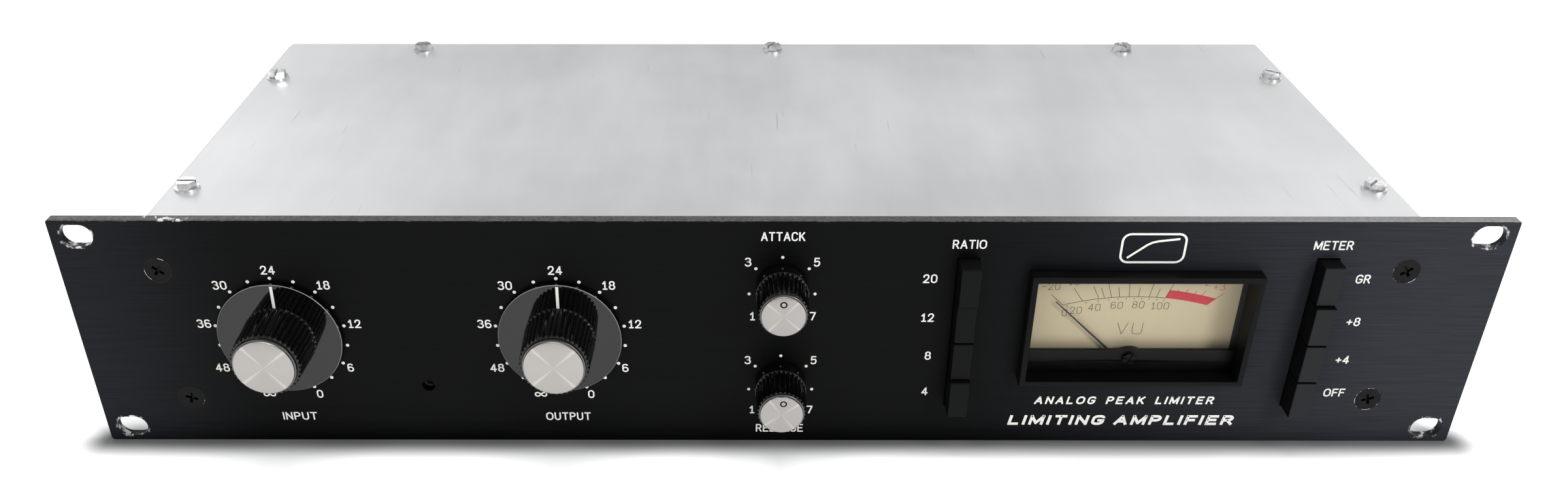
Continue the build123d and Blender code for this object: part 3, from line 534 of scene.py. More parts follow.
# %% Piece helpers
BODY_OF = {node: body for body, nodes in frame["record"]["behaviour"]["bodies"].items() for node in nodes}
SMOOTH_ANGLE = math.radians(40)


def finished(name, shape, node, finish, replace=True, recalc=True):
    """Object made from a bmesh: it rides where its node does and, when it replaces the node, hides it."""
    if recalc:
        bmesh.ops.recalc_face_normals(shape, faces=shape.faces)
    data = bpy.data.meshes.new(name)
    shape.to_mesh(data)
    shape.free()
    piece = bpy.data.objects.new(name, data)
    bpy.context.scene.collection.objects.link(piece)
    repaint(piece, finish)
    for face in data.polygons:
        face.use_smooth = True
    data.set_sharp_from_angle(angle=SMOOTH_ANGLE)
    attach(piece, BODY_OF[node])
    if replace:
        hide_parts(node)
    return piece


def turned(profile, steps):
    """Spin a profile of (radius, height) points, in millimetres, about the local z axis."""
    shape = bmesh.new()
    points = [shape.verts.new((radius * MM, 0, height * MM)) for radius, height in profile]
    edges = [shape.edges.new(pair) for pair in zip(points, points[1:])]
    bmesh.ops.spin(
        shape, geom=points + edges, cent=(0, 0, 0), axis=(0, 0, 1), angle=2 * math.pi,
        steps=steps, use_merge=True, use_duplicate=False,
    )
    bmesh.ops.remove_doubles(shape, verts=shape.verts, dist=0.001 * MM)
    return shape


def join(target, source, matrix):
    """Add a moved copy of one bmesh to another, and free the first."""
    source.transform(matrix)
    mesh = bpy.data.meshes.new("joined")
    source.to_mesh(mesh)
    source.free()
    target.from_mesh(mesh)
    bpy.data.meshes.remove(mesh)


def softened(node, width, finish, shortest=0.0, thinner=1.0):
    """A copy of a node, which stands for it, with its sharp edges longer than a length rounded.

    The small holes' edges are shorter and stay sharp; thinner keeps a piece off the one behind it.
    """
    shape = bmesh.new()
    shape.from_mesh(frame["nodes"][node].data)
    bmesh.ops.remove_doubles(shape, verts=shape.verts, dist=0.002 * MM)
    away = Matrix.Translation(-middle(node))
    bmesh.ops.scale(shape, vec=(1, thinner, 1), space=away, verts=shape.verts)
    weight = shape.edges.layers.float.new("bevel_weight_edge")
    for edge in shape.edges:
        sharp = edge.calc_face_angle(0.0) > SMOOTH_ANGLE
        edge[weight] = 1.0 if sharp and edge.calc_length() > shortest else 0.0
    round_edges = {edge.index for edge in shape.edges if edge[weight] > 0.5}
    piece = finished(f"{node}_rounded", shape, node, finish, recalc=False)
    for edge in piece.data.edges:
        if edge.index in round_edges:
            edge.use_edge_sharp = False
    bevel = piece.modifiers.new("rounded edges", "BEVEL")
    bevel.width = width
    bevel.segments = 2
    bevel.limit_method = "WEIGHT"
    flat = piece.modifiers.new("flat faces stay flat", "WEIGHTED_NORMAL")
    flat.mode = "FACE_AREA"
    flat.weight = 100
    flat.keep_sharp = True
    return piece


# %% [markdown]
# ## Sheet and machined pieces
# The panel, covers, screws, bezel and buttons are right in the frame apart from their sharp edges. Each
# is copied and rounded by the amount its process leaves: almost nothing on sheet metal, more on
# mouldings. The buttons' fronts are painted a little grey as a painted sheen, more on the meter's column
# at the right.

# %% Round the edges
SOFT_EDGES = {
    "front_panel": (0.28, PANEL_FINISH),
    "top_cover": (0.15, COVER_FINISH),
    "bottom_cover": (0.15, COVER_FINISH),
    "top_cover_screws": (0.22, ZINC),
    "bottom_cover_screws": (0.22, ZINC),
    "front_panel_screws": (0.1, SCREW_BLACK),
    "meter_bezel": (0.25, BEZEL_BLACK),
    "meter_lower_cover": (0.2, COVER_BLACK),
    "meter_zero_screw": (0.08, COVER_BLACK),
    "mains_inlet": (0.3, CONNECTOR_BLACK),
    "fuse_cap": (0.25, CONNECTOR_BLACK),
    "terminal_strip": (0.3, CONNECTOR_BLACK),
    "terminal_screws": (0.15, ZINC),
}
# Painted sheen on the buttons' fronts: one grey per column, paler for the meter column at the right.
FRONT_SHEEN = {"ratio_button": 0.005, "meter_button": 0.018}
for node in frame["nodes"]:
    for column, rubbed in FRONT_SHEEN.items():
        if node.startswith(column):
            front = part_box(node)[0].y
            keycap = moulded(f"{node}_moulding", grey(0.0018), 0.42, 0.1, 0.1, 0.06, front, rubbed)
            SOFT_EDGES[node] = (0.25, keycap)
SHEET_EDGE = 4 * MM
for node, (width, finish) in SOFT_EDGES.items():
    softened(node, width * MM, finish, SHEET_EDGE if finish is COVER_FINISH else 0.0)
softened("meter_window", 0.12 * MM, WINDOW_CLEAR, thinner=0.95)
print("rounded copies:", len(SOFT_EDGES) + 1)

# %% [markdown]
# ## Countersunk lips
# Each black screw sits in a countersink a little wider than its head. The gap around the head is a painted
# shadow, a near-black ring of film, and the lip around it has the dye rubbed off here and there; together
# they make the screw read as a separate piece. Both are shallow turned rings.


# %% Rings around the panel screws
def turned_ring(inner, outer, height, steps=48):
    """A flat ring with a chamfered outer edge, in millimetres."""
    chamfer = height / 2
    section = [(inner, 0), (outer, 0), (outer, chamfer), (outer - chamfer, height), (inner, height)]
    return turned(section + section[:1], steps)


def rubbed_lip():
    """Black lip with bare metal where a driver or a cloth has rubbed it."""
    finish = Finish("rubbed_lip", Specular_IOR_Level=0.2)
    rub = finish.noise(210, detail=4, roughness=0.7).rise(0.53, 0.62)
    tone = finish.blend(rub, grey(0.004), grey(0.45))
    return finish.feed(Base_Color=tone, Metallic=rub, Roughness=0.35 - rub * 0.1)


HEAD_R, GAP_R, LIP_R = 4.15, 4.43, 4.61
SCREW_LOW, SCREW_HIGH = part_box("front_panel_screws")
gap_shadows, lips = bmesh.new(), bmesh.new()
for x in (SCREW_LOW.x + HEAD_R * MM, SCREW_HIGH.x - HEAD_R * MM):
    for z in (SCREW_LOW.z + HEAD_R * MM, SCREW_HIGH.z - HEAD_R * MM):
        join(gap_shadows, turned_ring(HEAD_R - 0.1, GAP_R, 0.03), on_face(x, z))
        join(lips, turned_ring(GAP_R, LIP_R, 0.05), on_face(x, z))
        print("panel screw at", round(x, 4), round(z, 4))
finished("panel_screw_gap_shadows", gap_shadows, "front_panel", PAINTED_GAP_SHADOW, replace=False)
finished("panel_screw_lips", lips, "front_panel", rubbed_lip(), replace=False)

# %% [markdown]
# ## Knob bodies
# A fluted knob could be cut groove by groove, but the grooves are all alike, so it is quicker to spin a
# smooth body and then press its points inwards by a wave around the axis. The wave fades out at the back
# of the grip, as the cutter's run-out does, and reaches its front edge, which therefore looks toothed.


# %% Fluted bodies
def fluted(profile, flutes, depth, grip_low, inner, points_per_flute=8):
    """A turned body with rounded grooves from a height to its front edge, outside an inner radius."""
    shape = turned(profile, flutes * points_per_flute)
    run_out = 0.35 * MM
    for point in shape.verts:
        height = point.co.z - grip_low * MM
        radius = math.hypot(point.co.x, point.co.y)
        if height < 0 or radius < inner * MM:
            continue
        angle = math.atan2(point.co.y, point.co.x)
        groove = (0.5 - 0.5 * math.cos(flutes * angle)) ** 1.4
        scale = 1 - depth * MM * groove * min(1.0, height / run_out) / radius
        point.co.x *= scale
        point.co.y *= scale
    return shape


def grip_rows(back_r, front_r, low, high, rows):
    """Evenly spaced rows of a tapered grip, with a row just inside each end."""
    lip, hair = 0.36, 0.001
    heights = [low + hair, low + lip]
    heights += [low + lip + (high - low - 2 * lip) * step / rows for step in range(1, rows)]
    heights += [high - lip, high - hair]
    return [(back_r + (front_r - back_r) * (height - low) / (high - low), height) for height in heights]


BORE_R = 3.3
LARGE_KNOBS = ("input", "output")
SMALL_TURN = {"attack": 0.0, "release": 7.0}
LARGE_LOW, LARGE_HIGH = 2.5, 19.0
SMALL_LOW, SMALL_HIGH = 5.6, 18.2


def large_body():
    """Input and output knobs, from the skirt to the cap's seat."""
    low, high = LARGE_LOW, LARGE_HIGH
    foot = [(BORE_R, low), (12.28, low)]
    crown = [(11.66, high), (11.5, high + 0.1), (10.95, high + 0.14), (10.7, high + 0.25), (10.15, high)]
    profile = foot + grip_rows(12.3, 11.7, low, high, rows=6) + crown + [(BORE_R, high), (BORE_R, low)]
    return fluted(profile, flutes=40, depth=0.7, grip_low=low, inner=11.0)


def small_body():
    """Attack and release knobs: smooth collar, grip, then the cap's seat."""
    base, low, high = 0.7, SMALL_LOW, SMALL_HIGH
    collar = [(BORE_R, base), (8.7, base), (8.9, base + 0.2)]
    collar += [(8.9, low - 0.25), (8.85, low - 0.08), (8.72, low)]
    crown = [(8.28, high - 0.1), (8.2, high), (7.73, high + 0.1), (7.33, high + 0.1), (7.33, high)]
    profile = collar + grip_rows(8.7, 8.3, low, high, rows=5)[:-1] + crown + [(BORE_R, high), (BORE_R, base)]
    return fluted(profile, flutes=32, depth=0.6, grip_low=low, inner=7.75)


for control in CONTROLS:
    body = large_body() if control in LARGE_KNOBS else small_body()
    body.transform(on_control(control, SMALL_TURN.get(control, 0.0)))
    piece = finished(f"{control}_knob_fluted", body, f"{control}_knob_body", KNOB_BLACK)
    print(piece.name, len(piece.data.polygons), "faces")

# %% [markdown]
# ## Caps
# The caps are shallow metal cups, with a rim behind and a soft shoulder, so each is one spun profile. The
# small ones carry a ring mark, filled with black, that shows where they point.


# %% Caps
def cap_profile(radius, seat, top):
    """Profile of a metal cup: a wider rim behind, a short neck and a rounded shoulder."""
    rim, edge = radius + 0.45, 0.36
    foot, lip = seat + 0.26, top - 0.72
    outside = [(rim, foot), (rim, lip - 0.1), (rim - 0.1, lip), (radius + 0.04, lip + 0.04)]
    shoulder = [(radius, top - edge), (radius - edge * 0.3, top - edge * 0.3), (radius - edge, top)]
    return [(0, seat), (radius, seat), (radius, foot)] + outside + shoulder + [(radius * 0.5, top), (0, top)]


GLINT = {"input": 0.25, "output": 0.1, "attack": -0.1, "release": 0.3}
LARGE_CAP = (10.1, LARGE_HIGH, 21.0)
SMALL_CAP = (7.3, SMALL_HIGH, 19.8)
MARK_INNER, MARK_OUTER, MARK_UP, MARK_FILM = 0.72, 1.2, 4.5, 0.03
for control, glint in GLINT.items():
    radius, seat, top = LARGE_CAP if control in LARGE_KNOBS else SMALL_CAP
    level = 0.42 if control in LARGE_KNOBS else 0.38
    cap = turned(cap_profile(radius, seat, top), 96)
    cap.transform(on_control(control))
    metal = turned_cap(f"{control}_cap_metal", CONTROL_CENTRE[control], glint, level, FACE_Y - top * MM)
    finished(f"{control}_cap_turned", cap, f"{control}_knob_cap", metal)
    if control in SMALL_TURN:
        section = [(MARK_INNER, 0), (MARK_OUTER, 0), (MARK_OUTER, MARK_FILM), (MARK_INNER, MARK_FILM)]
        ring = turned(section + section[:1], 32)
        ring.transform(on_control(control, SMALL_TURN[control], MARK_UP * MM, (top - MARK_FILM) * MM))
        finished(f"{control}_cap_mark", ring, f"{control}_knob_cap", BLACK_INK, replace=False)
print("caps:", len(GLINT))

# %% [markdown]
# ## Skirts and index lines
# A skirt is a disc of acrylic with a chamfered rim, spun like the caps. Its index line is a film of white
# paint on top: a box a few hundredths of a millimetre thick, laid along one radius and turned with the
# knob.

# %% Skirts and their index lines
INDEX_TURN = {"input": 2.0, "output": 1.2}
SKIRT_R, SKIRT_BACK, SKIRT_FRONT = 21.15, 0.8, LARGE_LOW
LINE_INNER, LINE_OUTER, LINE_W, LINE_FILM = 11.9, SKIRT_R - 0.6, 1.0, 0.04
SKIRT_BODY = 0.76
for control, turn in INDEX_TURN.items():
    profile = [(BORE_R, SKIRT_BACK), (SKIRT_R - 0.1, SKIRT_BACK), (SKIRT_R, SKIRT_BACK + 0.1)]
    profile += [(SKIRT_R, SKIRT_FRONT - 0.15), (SKIRT_R - 0.15, SKIRT_FRONT), (BORE_R, SKIRT_FRONT)]
    skirt = turned(profile + profile[:1], 128)
    skirt.transform(on_control(control))
    rim, front = (SKIRT_R - 0.1) * MM, FACE_Y - SKIRT_FRONT * MM
    clear = clear_acrylic(f"{control}_skirt_acrylic", 0.02, SKIRT_BODY, CONTROL_CENTRE[control], rim, front)
    finished(f"{control}_skirt_clear", skirt, f"{control}_knob_skirt", clear)
    line = bmesh.new()
    bmesh.ops.create_cube(line, size=MM)
    bmesh.ops.scale(line, vec=(LINE_W, LINE_OUTER - LINE_INNER, LINE_FILM), verts=line.verts)
    up, lift = (LINE_INNER + LINE_OUTER) / 2 * MM, (SKIRT_FRONT + LINE_FILM / 2) * MM
    line.transform(on_control(control, turn, up, lift))
    finished(f"{control}_index_line", line, f"{control}_knob_skirt", WHITE_INK, replace=False)
print("skirts:", len(INDEX_TURN), "of", 2 * SKIRT_R, "mm")

# %% [markdown]
# ## Lettering
# The legends are generic words and numbers, in the plain even-stroke letters of a drawing office. The
# font that comes with Blender has another character, so each letter is a few pen strokes here, given by
# their corners, and a corner is rounded unless it is marked sharp. Every stroke becomes a thin flattened
# tube, like a film of ink.

# %% Pen strokes of each letter
SHARP = 0
PEN = {
    "0": [[(0.3, 1), (0.6, 1), (0.6, 0), (0, 0), (0, 1), (0.3, 1)]],
    "1": [[(0.04, 0.74), (0.27, 1, SHARP), (0.27, 0)], [(0.06, 0), (0.48, 0)]],
    "2": [[(0.02, 0.72), (0.02, 1), (0.57, 1), (0.57, 0.56), (0, 0, SHARP), (0.6, 0)]],
    "3": [[(0.02, 0.8), (0.02, 1), (0.55, 1), (0.55, 0.54), (0.22, 0.54)],
          [(0.22, 0.54), (0.6, 0.54), (0.6, 0), (0, 0), (0, 0.22)]],
    "4": [[(0.44, 0), (0.44, 1, SHARP), (0, 0.27, SHARP), (0.62, 0.27)]],
    "5": [[(0.54, 1), (0.09, 1, SHARP), (0.05, 0.52, SHARP), (0.2, 0.62), (0.58, 0.62), (0.58, 0),
           (0, 0), (0, 0.2)]],
    "6": [[(0.3, 0.58), (0.6, 0.58), (0.6, 0), (0, 0), (0, 0.58), (0.3, 0.58)],
          [(0, 0.3), (0, 1), (0.5, 1), (0.56, 0.84)]],
    "7": [[(0, 1), (0.58, 1, SHARP), (0.2, 0)]],
    "8": [[(0.3, 1), (0.56, 1), (0.56, 0.54), (0.04, 0.54), (0.04, 1), (0.3, 1)],
          [(0.3, 0.54), (0.6, 0.54), (0.6, 0), (0, 0), (0, 0.54), (0.3, 0.54)]],
    "+": [[(0, 0.45), (0.56, 0.45)], [(0.28, 0.17), (0.28, 0.73)]],
    "-": [[(0, 0.45), (0.5, 0.45)]],
    "A": [[(0, 0), (0.34, 1, SHARP), (0.68, 0)], [(0.12, 0.32), (0.56, 0.32)]],
    "C": [[(0.64, 0.74), (0.64, 1), (0, 1), (0, 0), (0.64, 0), (0.64, 0.26)]],
    "E": [[(0.55, 1), (0, 1, SHARP), (0, 0, SHARP), (0.57, 0)], [(0, 0.52), (0.48, 0.52)]],
    "F": [[(0.54, 1), (0, 1, SHARP), (0, 0)], [(0, 0.5), (0.46, 0.5)]],
    "G": [[(0.64, 0.76), (0.64, 1), (0, 1), (0, 0), (0.64, 0), (0.64, 0.46, SHARP), (0.36, 0.46)]],
    "I": [[(0, 0), (0, 1)]],
    "K": [[(0, 0), (0, 1)], [(0.56, 1), (0, 0.36)], [(0.2, 0.58), (0.6, 0)]],
    "L": [[(0, 1), (0, 0, SHARP), (0.52, 0)]],
    "M": [[(0, 0), (0, 1, SHARP), (0.38, 0.12, SHARP), (0.76, 1, SHARP), (0.76, 0)]],
    "N": [[(0, 0), (0, 1, SHARP), (0.6, 0, SHARP), (0.6, 1)]],
    "O": [[(0.36, 1), (0.72, 1), (0.72, 0), (0, 0), (0, 1), (0.36, 1)]],
    "P": [[(0, 0), (0, 1, SHARP), (0.56, 1), (0.56, 0.46), (0, 0.46)]],
    "R": [[(0, 0), (0, 1, SHARP), (0.56, 1), (0.56, 0.48), (0, 0.48)], [(0.3, 0.48), (0.6, 0)]],
    "S": [[(0.56, 0.8), (0.56, 1), (0.02, 1), (0.02, 0.53), (0.6, 0.53), (0.6, 0), (0, 0), (0, 0.2)]],
    "T": [[(0, 1), (0.62, 1)], [(0.31, 1), (0.31, 0)]],
    "U": [[(0, 1), (0, 0), (0.6, 0), (0.6, 1)]],
    "V": [[(0, 1), (0.32, 0, SHARP), (0.64, 1)]],
}
FILM = 0.025 * MM
print("letters drawn:", len(PEN))

# %% [markdown]
# A pen stroke is worked out in three steps. It is cut at its sharp corners, each part gets its other
# corners rounded by a quarter of an ellipse, and a curve object with a round bevel gives the parts their
# thickness. The curve becomes a mesh at once and is then pressed flat.


# %% Stroke and word helpers
def rounded(corners, roundness):
    """Points of a pen stroke with its corners rounded."""
    places = [Vector(corner[:2]) for corner in corners]
    points = [places[0]]
    for index in range(1, len(places) - 1):
        here, before, after = places[index], places[index - 1], places[index + 1]
        first_reach = (before - here).length * (1 if index == 1 else 0.5)
        last_reach = (after - here).length * (1 if index == len(places) - 2 else 0.5)
        reach = min(0.42 * roundness, first_reach, last_reach)
        start = here + (before - here).normalized() * reach
        end = here + (after - here).normalized() * reach
        for step in range(9):
            share = step / 8
            near, mid, far = (1 - share) ** 2, math.sqrt(2) * share * (1 - share), share**2
            points.append((start * near + here * mid + end * far) / (near + mid + far))
    return points + [places[-1]]


def cut_at_sharp(corners):
    """A pen stroke in parts that meet at its sharp corners."""
    parts, start = [], 0
    for index, corner in enumerate(corners):
        if len(corner) == 3:
            parts.append(corners[start:index + 1])
            start = index
    return parts + [corners[start:]]


def longer(points, reach):
    """An open stroke whose two ends are drawn a little further, so that sharp corners close."""
    ends = []
    for end, inner in ((points[0], points[1]), (points[-1], points[-2])):
        step = Vector(end) - Vector(inner)
        ends.append(Vector(end) + step.normalized() * reach)
    return [ends[0], *points[1:-1], ends[1]]


def inked(strokes, thickness):
    """Strokes in millimetres, as one bmesh of flattened tubes."""
    curve = bpy.data.curves.new("strokes", "CURVE")
    curve.dimensions = "3D"
    curve.bevel_depth = thickness * MM / 2
    curve.bevel_resolution = 1
    curve.use_fill_caps = True
    for points in strokes:
        line = curve.splines.new("POLY")
        closed = (Vector(points[0]) - Vector(points[-1])).length < 0.0001
        points = points[:-1] if closed else longer(points, thickness * 0.4)
        line.points.add(len(points) - 1)
        line.use_cyclic_u = closed
        for place, (x, y) in zip(line.points, points):
            place.co = (x * MM, y * MM, 0, 1)
    holder = bpy.data.objects.new("strokes", curve)
    bpy.context.scene.collection.objects.link(holder)
    mesh = bpy.data.meshes.new_from_object(holder)
    shape = bmesh.new()
    shape.from_mesh(mesh)
    bpy.data.objects.remove(holder)
    bpy.data.curves.remove(curve)
    bpy.data.meshes.remove(mesh)
    bmesh.ops.scale(shape, vec=(1, 1, FILM / (thickness * MM)), verts=shape.verts)
    return shape


def word(text, cap, thickness, width=None, slant=0.0, roundness=1.0, gap=0.32):
    """A centred word, from its height, its strokes' width and, if given, its whole width, in millimetres."""
    strokes, pen, space = [], 0.0, 0.45
    for letter in text:
        if letter == " ":
            pen += space
            continue
        lines = PEN[letter]
        for line in lines:
            for piece in cut_at_sharp(line):
                strokes.append([point + Vector((pen, 0)) for point in rounded(piece, roundness)])
        pen += max(corner[0] for line in lines for corner in line) + gap
    left = min(point.x for line in strokes for point in line)
    right = max(point.x for line in strokes for point in line)
    centre, up = (left + right) / 2, cap - thickness
    along = (width - thickness) / (right - left) if width else up
    placed = []
    for line in strokes:
        heights = [(point.y - 0.5) * up for point in line]
        placed.append([((p.x - centre) * along + y * slant, y) for p, y in zip(line, heights)])
    return inked(placed, thickness)


sample = word("12", 3.35, 0.5)
print("faces in a two-figure number:", len(sample.faces))
sample.free()

# %% [markdown]
# ## Legends on the panel
# The scales around the knobs follow the knobs' own turning range: seventeen dots on the large ones, and seven
# on the small ones. A dot is a cone with equal ends, as thin as the ink.

# %% Dots around the knobs
legends = bmesh.new()
LEVEL_RING, LEVEL_DOT, LEVEL_STEP, LEVEL_DOTS = 22.4, 0.6, 20, 17
TIME_RING, TIME_DOT, TIME_STEP, TIME_DOTS = 11.4, 0.55, 154 / 3, 7


def dots(control, ring, radius, step, count):
    """Evenly turned dots on a ring around a control, half of them on each side of the top."""
    centre = CONTROL_CENTRE[control]
    for index in range(count):
        angle = math.radians((index - (count - 1) / 2) * step)
        spot = bmesh.new()
        bmesh.ops.create_cone(
            spot, cap_ends=True, cap_tris=False, segments=16,
            radius1=radius * MM, radius2=radius * MM, depth=FILM,
        )
        x, z = centre.x + ring * MM * math.sin(angle), centre.z + ring * MM * math.cos(angle)
        join(legends, spot, on_face(x, z, lift=FILM / 2))


for control in CONTROLS:
    if control in LARGE_KNOBS:
        dots(control, LEVEL_RING, LEVEL_DOT, LEVEL_STEP, LEVEL_DOTS)
    else:
        dots(control, TIME_RING, TIME_DOT, TIME_STEP, TIME_DOTS)
print("faces in the dots:", len(legends.faces))

# %% [markdown]
# Numbers and words are placed one by one, in millimetres from their control or from the panel's foot. A
# formula would set the numbers in a perfect ring, but a printer nudges each one by eye, so that wide ones
# clear the dots.


# %% Numbers and words
def legend(text, x, foot, cap=3.35, thick=0.5, **style):
    """One printed word, centred at x and at a height above the panel's lower edge, in millimetres."""
    join(legends, word(text, cap, thick, **style), on_face(x * MM, PANEL_FOOT + foot * MM, lift=FILM / 2))


LEVEL_PLACES = {
    "24": (-0.1, 69.5), "30": (-17.4, 63.7), "36": (-25.8, 48.7), "48": (-23.1, 30.9),
    "18": (17.6, 63.8), "12": (25.8, 48.7), "6": (21.7, 30.9), "0": (9.1, 19.9),
}
TIME_PLACES = {"3": (-11.5, 9.6), "5": (11.4, 9.6), "1": (-9.9, -11.2), "7": (10.6, -11.2)}
CONTROL_LABELS = {"input": (0.4, 10.4, 12.3), "output": (0.4, 10.4, 16.0)}
CONTROL_LABELS.update({"attack": (0.0, 82.2, 14.6), "release": (0.0, 5.4, 17.0)})
for control, (along, foot, width) in CONTROL_LABELS.items():
    centre_x, centre_up = CONTROL_CENTRE[control].x / MM, (CONTROL_CENTRE[control].z - PANEL_FOOT) / MM
    legend(control.upper(), centre_x + along, foot, width=width)
    places, base = (LEVEL_PLACES, 0.0) if control in LARGE_KNOBS else (TIME_PLACES, centre_up)
    for text, (x, up) in places.items():
        legend(text, centre_x + x, base + up)
KEY_LEGENDS = {
    "20": (49.8, 66.5), "12": (50.1, 51.4), "8": (51.3, 36.1), "4": (51.3, 21.3),
    "GR": (194.8, 66.5), "+8": (195.6, 49.9), "+4": (195.6, 34.6), "OFF": (196.0, 20.9),
}
for text, (x, foot) in KEY_LEGENDS.items():
    legend(text, x, foot)
legend("RATIO", 61.9, 79.4, width=11.3)
legend("METER", 182.0, 79.1, width=13.0)
legend("ANALOG  PEAK  LIMITER", 122.5, 17.5, 3.3, 0.66, width=63.5, slant=0.18, gap=0.5)
legend("LIMITING AMPLIFIER", 122.6, 9.0, 4.3, 1.05, width=80.5, slant=0.2, roundness=0.7, gap=0.42)
print("faces in the legends:", len(legends.faces))

# %% [markdown]
# The end mark of the level scales is an infinity sign, one line that crosses itself. Above the meter sits a
# plain emblem, an outlined box with a compression curve, straight up to its knee and flatter after it.


# %% Infinity signs and the emblem
def infinity(size, points=33):
    """Points of a lemniscate."""
    turns = [2 * math.pi * step / (points - 1) for step in range(points)]
    reach = [size / (1 + math.sin(t) ** 2) for t in turns]
    return [(r * math.cos(t), r * 1.1 * math.sin(t) * math.cos(t)) for r, t in zip(reach, turns)]


def rounded_box(width, height, radius, steps=5):
    """Closed outline of a box with round corners."""
    points = []
    for index, (right, up) in enumerate(((1, 1), (-1, 1), (-1, -1), (1, -1))):
        x, y = right * (width / 2 - radius), up * (height / 2 - radius)
        for step in range(steps + 1):
            angle = math.radians(90 * (index + step / steps))
            points.append((x + radius * math.cos(angle), y + radius * math.sin(angle)))
    return points + points[:1]


END_MARK_X, END_MARK_UP = -8.7, 19.8
for control in LARGE_KNOBS:
    x, z = CONTROL_CENTRE[control].x + END_MARK_X * MM, PANEL_FOOT + END_MARK_UP * MM
    join(legends, inked([infinity(2.0)], 0.5), on_face(x, z, lift=FILM / 2))
EMBLEM_X, EMBLEM_UP, EMBLEM_W, EMBLEM_H, EMBLEM_LINE = 122.6, 78.0, 21.0, 10.4, 0.75
KNEE = [(-8.0, -3.4), (-2.2, 1.2), (-0.6, 2.1), (1.4, 2.6), (8.0, 3.4)]
for stroke in (rounded_box(EMBLEM_W, EMBLEM_H, 2.6), KNEE):
    spot = on_face(EMBLEM_X * MM, PANEL_FOOT + EMBLEM_UP * MM, lift=FILM / 2)
    join(legends, inked([stroke], EMBLEM_LINE), spot)
finished("panel_legends", legends, "front_panel", WHITE_INK, replace=False)
print("legends printed")

# %% [markdown]
# ## The meter's dial
# The scale's arc is much flatter than the needle's own sweep, but its ticks still point at the needle's
# pivot. So each mark is placed by an angle at the pivot, and a helper finds where that ray meets the flat
# arc.

# %% Dial marks
JOINTS = {joint["name"]: joint for joint in frame["record"]["behaviour"]["joints"]}
PIVOT_X, _, PIVOT_Z = JOINTS["needle_swing"]["pos_m"]
DIAL_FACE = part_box("meter_dial")[0].y
ARC_R, ARC_UP = 94, 26.9
DIAL_STROKE = 0.2


def on_dial(x=0.0, y=0.0):
    """Matrix from the pivot's local frame, in millimetres, to the dial's face."""
    stand = Matrix.Translation((PIVOT_X, DIAL_FACE, PIVOT_Z)) @ UPRIGHT
    return stand @ Matrix.Translation((x * MM, y * MM, FILM / 2))


def on_arc(degrees, rise=0.0):
    """Point where the ray at an angle from upright meets the arc, raised by an amount, in millimetres."""
    angle = math.radians(degrees)
    radius, drop = ARC_R + rise, ARC_R - ARC_UP
    along = -drop * math.cos(angle) + math.sqrt(radius**2 - (drop * math.sin(angle)) ** 2)
    return along * math.sin(angle), along * math.cos(angle)


def bar(shape, start, end, width=0.18):
    """A thin printed bar between two points."""
    run = Vector(end) - Vector(start)
    stroke = bmesh.new()
    bmesh.ops.create_cube(stroke, size=1)
    bmesh.ops.scale(stroke, vec=(width * MM, run.length * MM, FILM), verts=stroke.verts)
    lean = Matrix.Rotation(-math.atan2(run.x, run.y), 4, "Z")
    join(shape, stroke, on_dial((start[0] + end[0]) / 2, (start[1] + end[1]) / 2) @ lean)


SCALE_END, ZERO_AT, ARC_STEPS = 46.5, 20.8, 24
VU_TICKS = {
    -46.5: 5.2, -35.8: 5.6, -26.0: 5.2, -22.3: 4.2, -17.6: 5.6, -12.0: 3.8,
    -5.2: 5.6, 1.6: 3.6, 9.4: 5.6, 14.6: 3.4, ZERO_AT: 5.6,
}
RED_TICKS = {25.6: 3.8, 30.4: 4.6, 35.2: 4.4, 39.0: 5.2, SCALE_END: 6.0}
PERCENT_START, PERCENT_STEPS, PERCENT_POWER = -45.0, 10, 0.8
black_marks, red_marks = bmesh.new(), bmesh.new()
arc = [-SCALE_END + (ZERO_AT + SCALE_END) * step / ARC_STEPS for step in range(ARC_STEPS + 1)]
for first, second in zip(arc, arc[1:]):
    bar(black_marks, on_arc(first), on_arc(second), DIAL_STROKE)
for angle, length in VU_TICKS.items():
    bar(black_marks, on_arc(angle), on_arc(angle, length))
for angle, length in RED_TICKS.items():
    bar(red_marks, on_arc(angle, 2.6), on_arc(angle, length))
for step in range(PERCENT_STEPS + 1):
    angle = PERCENT_START + (ZERO_AT - PERCENT_START) * (step / PERCENT_STEPS) ** PERCENT_POWER
    bar(black_marks, on_arc(angle, -1.2), on_arc(angle, -0.5))
print("bars on the dial:", len(black_marks.faces) // 6 + len(red_marks.faces) // 6)

# %% [markdown]
# The overload part of the scale is a solid red band above the arc. It starts as a flat grid whose columns
# are turned to follow the arc, and is extruded into a film. The numbers stand above the ticks, and the
# percentages below the arc.

# %% Red band and numbers
BAND_WIDTH, BAND_STEPS = 3.2, 20
band = bmesh.new()
bmesh.ops.create_grid(band, x_segments=BAND_STEPS, y_segments=1, size=0.5)
for point in band.verts:
    angle = ZERO_AT + (SCALE_END - ZERO_AT) * (point.co.x + 0.5)
    x, y = on_arc(angle, BAND_WIDTH * (point.co.y + 0.5))
    point.co = (x * MM, y * MM, -FILM / 2)
lifted = bmesh.ops.extrude_face_region(band, geom=band.faces)["geom"]
top = [part for part in lifted if isinstance(part, bmesh.types.BMVert)]
bmesh.ops.translate(band, vec=(0, 0, FILM), verts=top)
join(red_marks, band, on_dial())


def mark(shape, text, x, y, cap=2.75, **style):
    """A printed number on the dial, at millimetres from the pivot."""
    join(shape, word(text, cap, DIAL_STROKE, roundness=0.55, **style), on_dial(x, y))


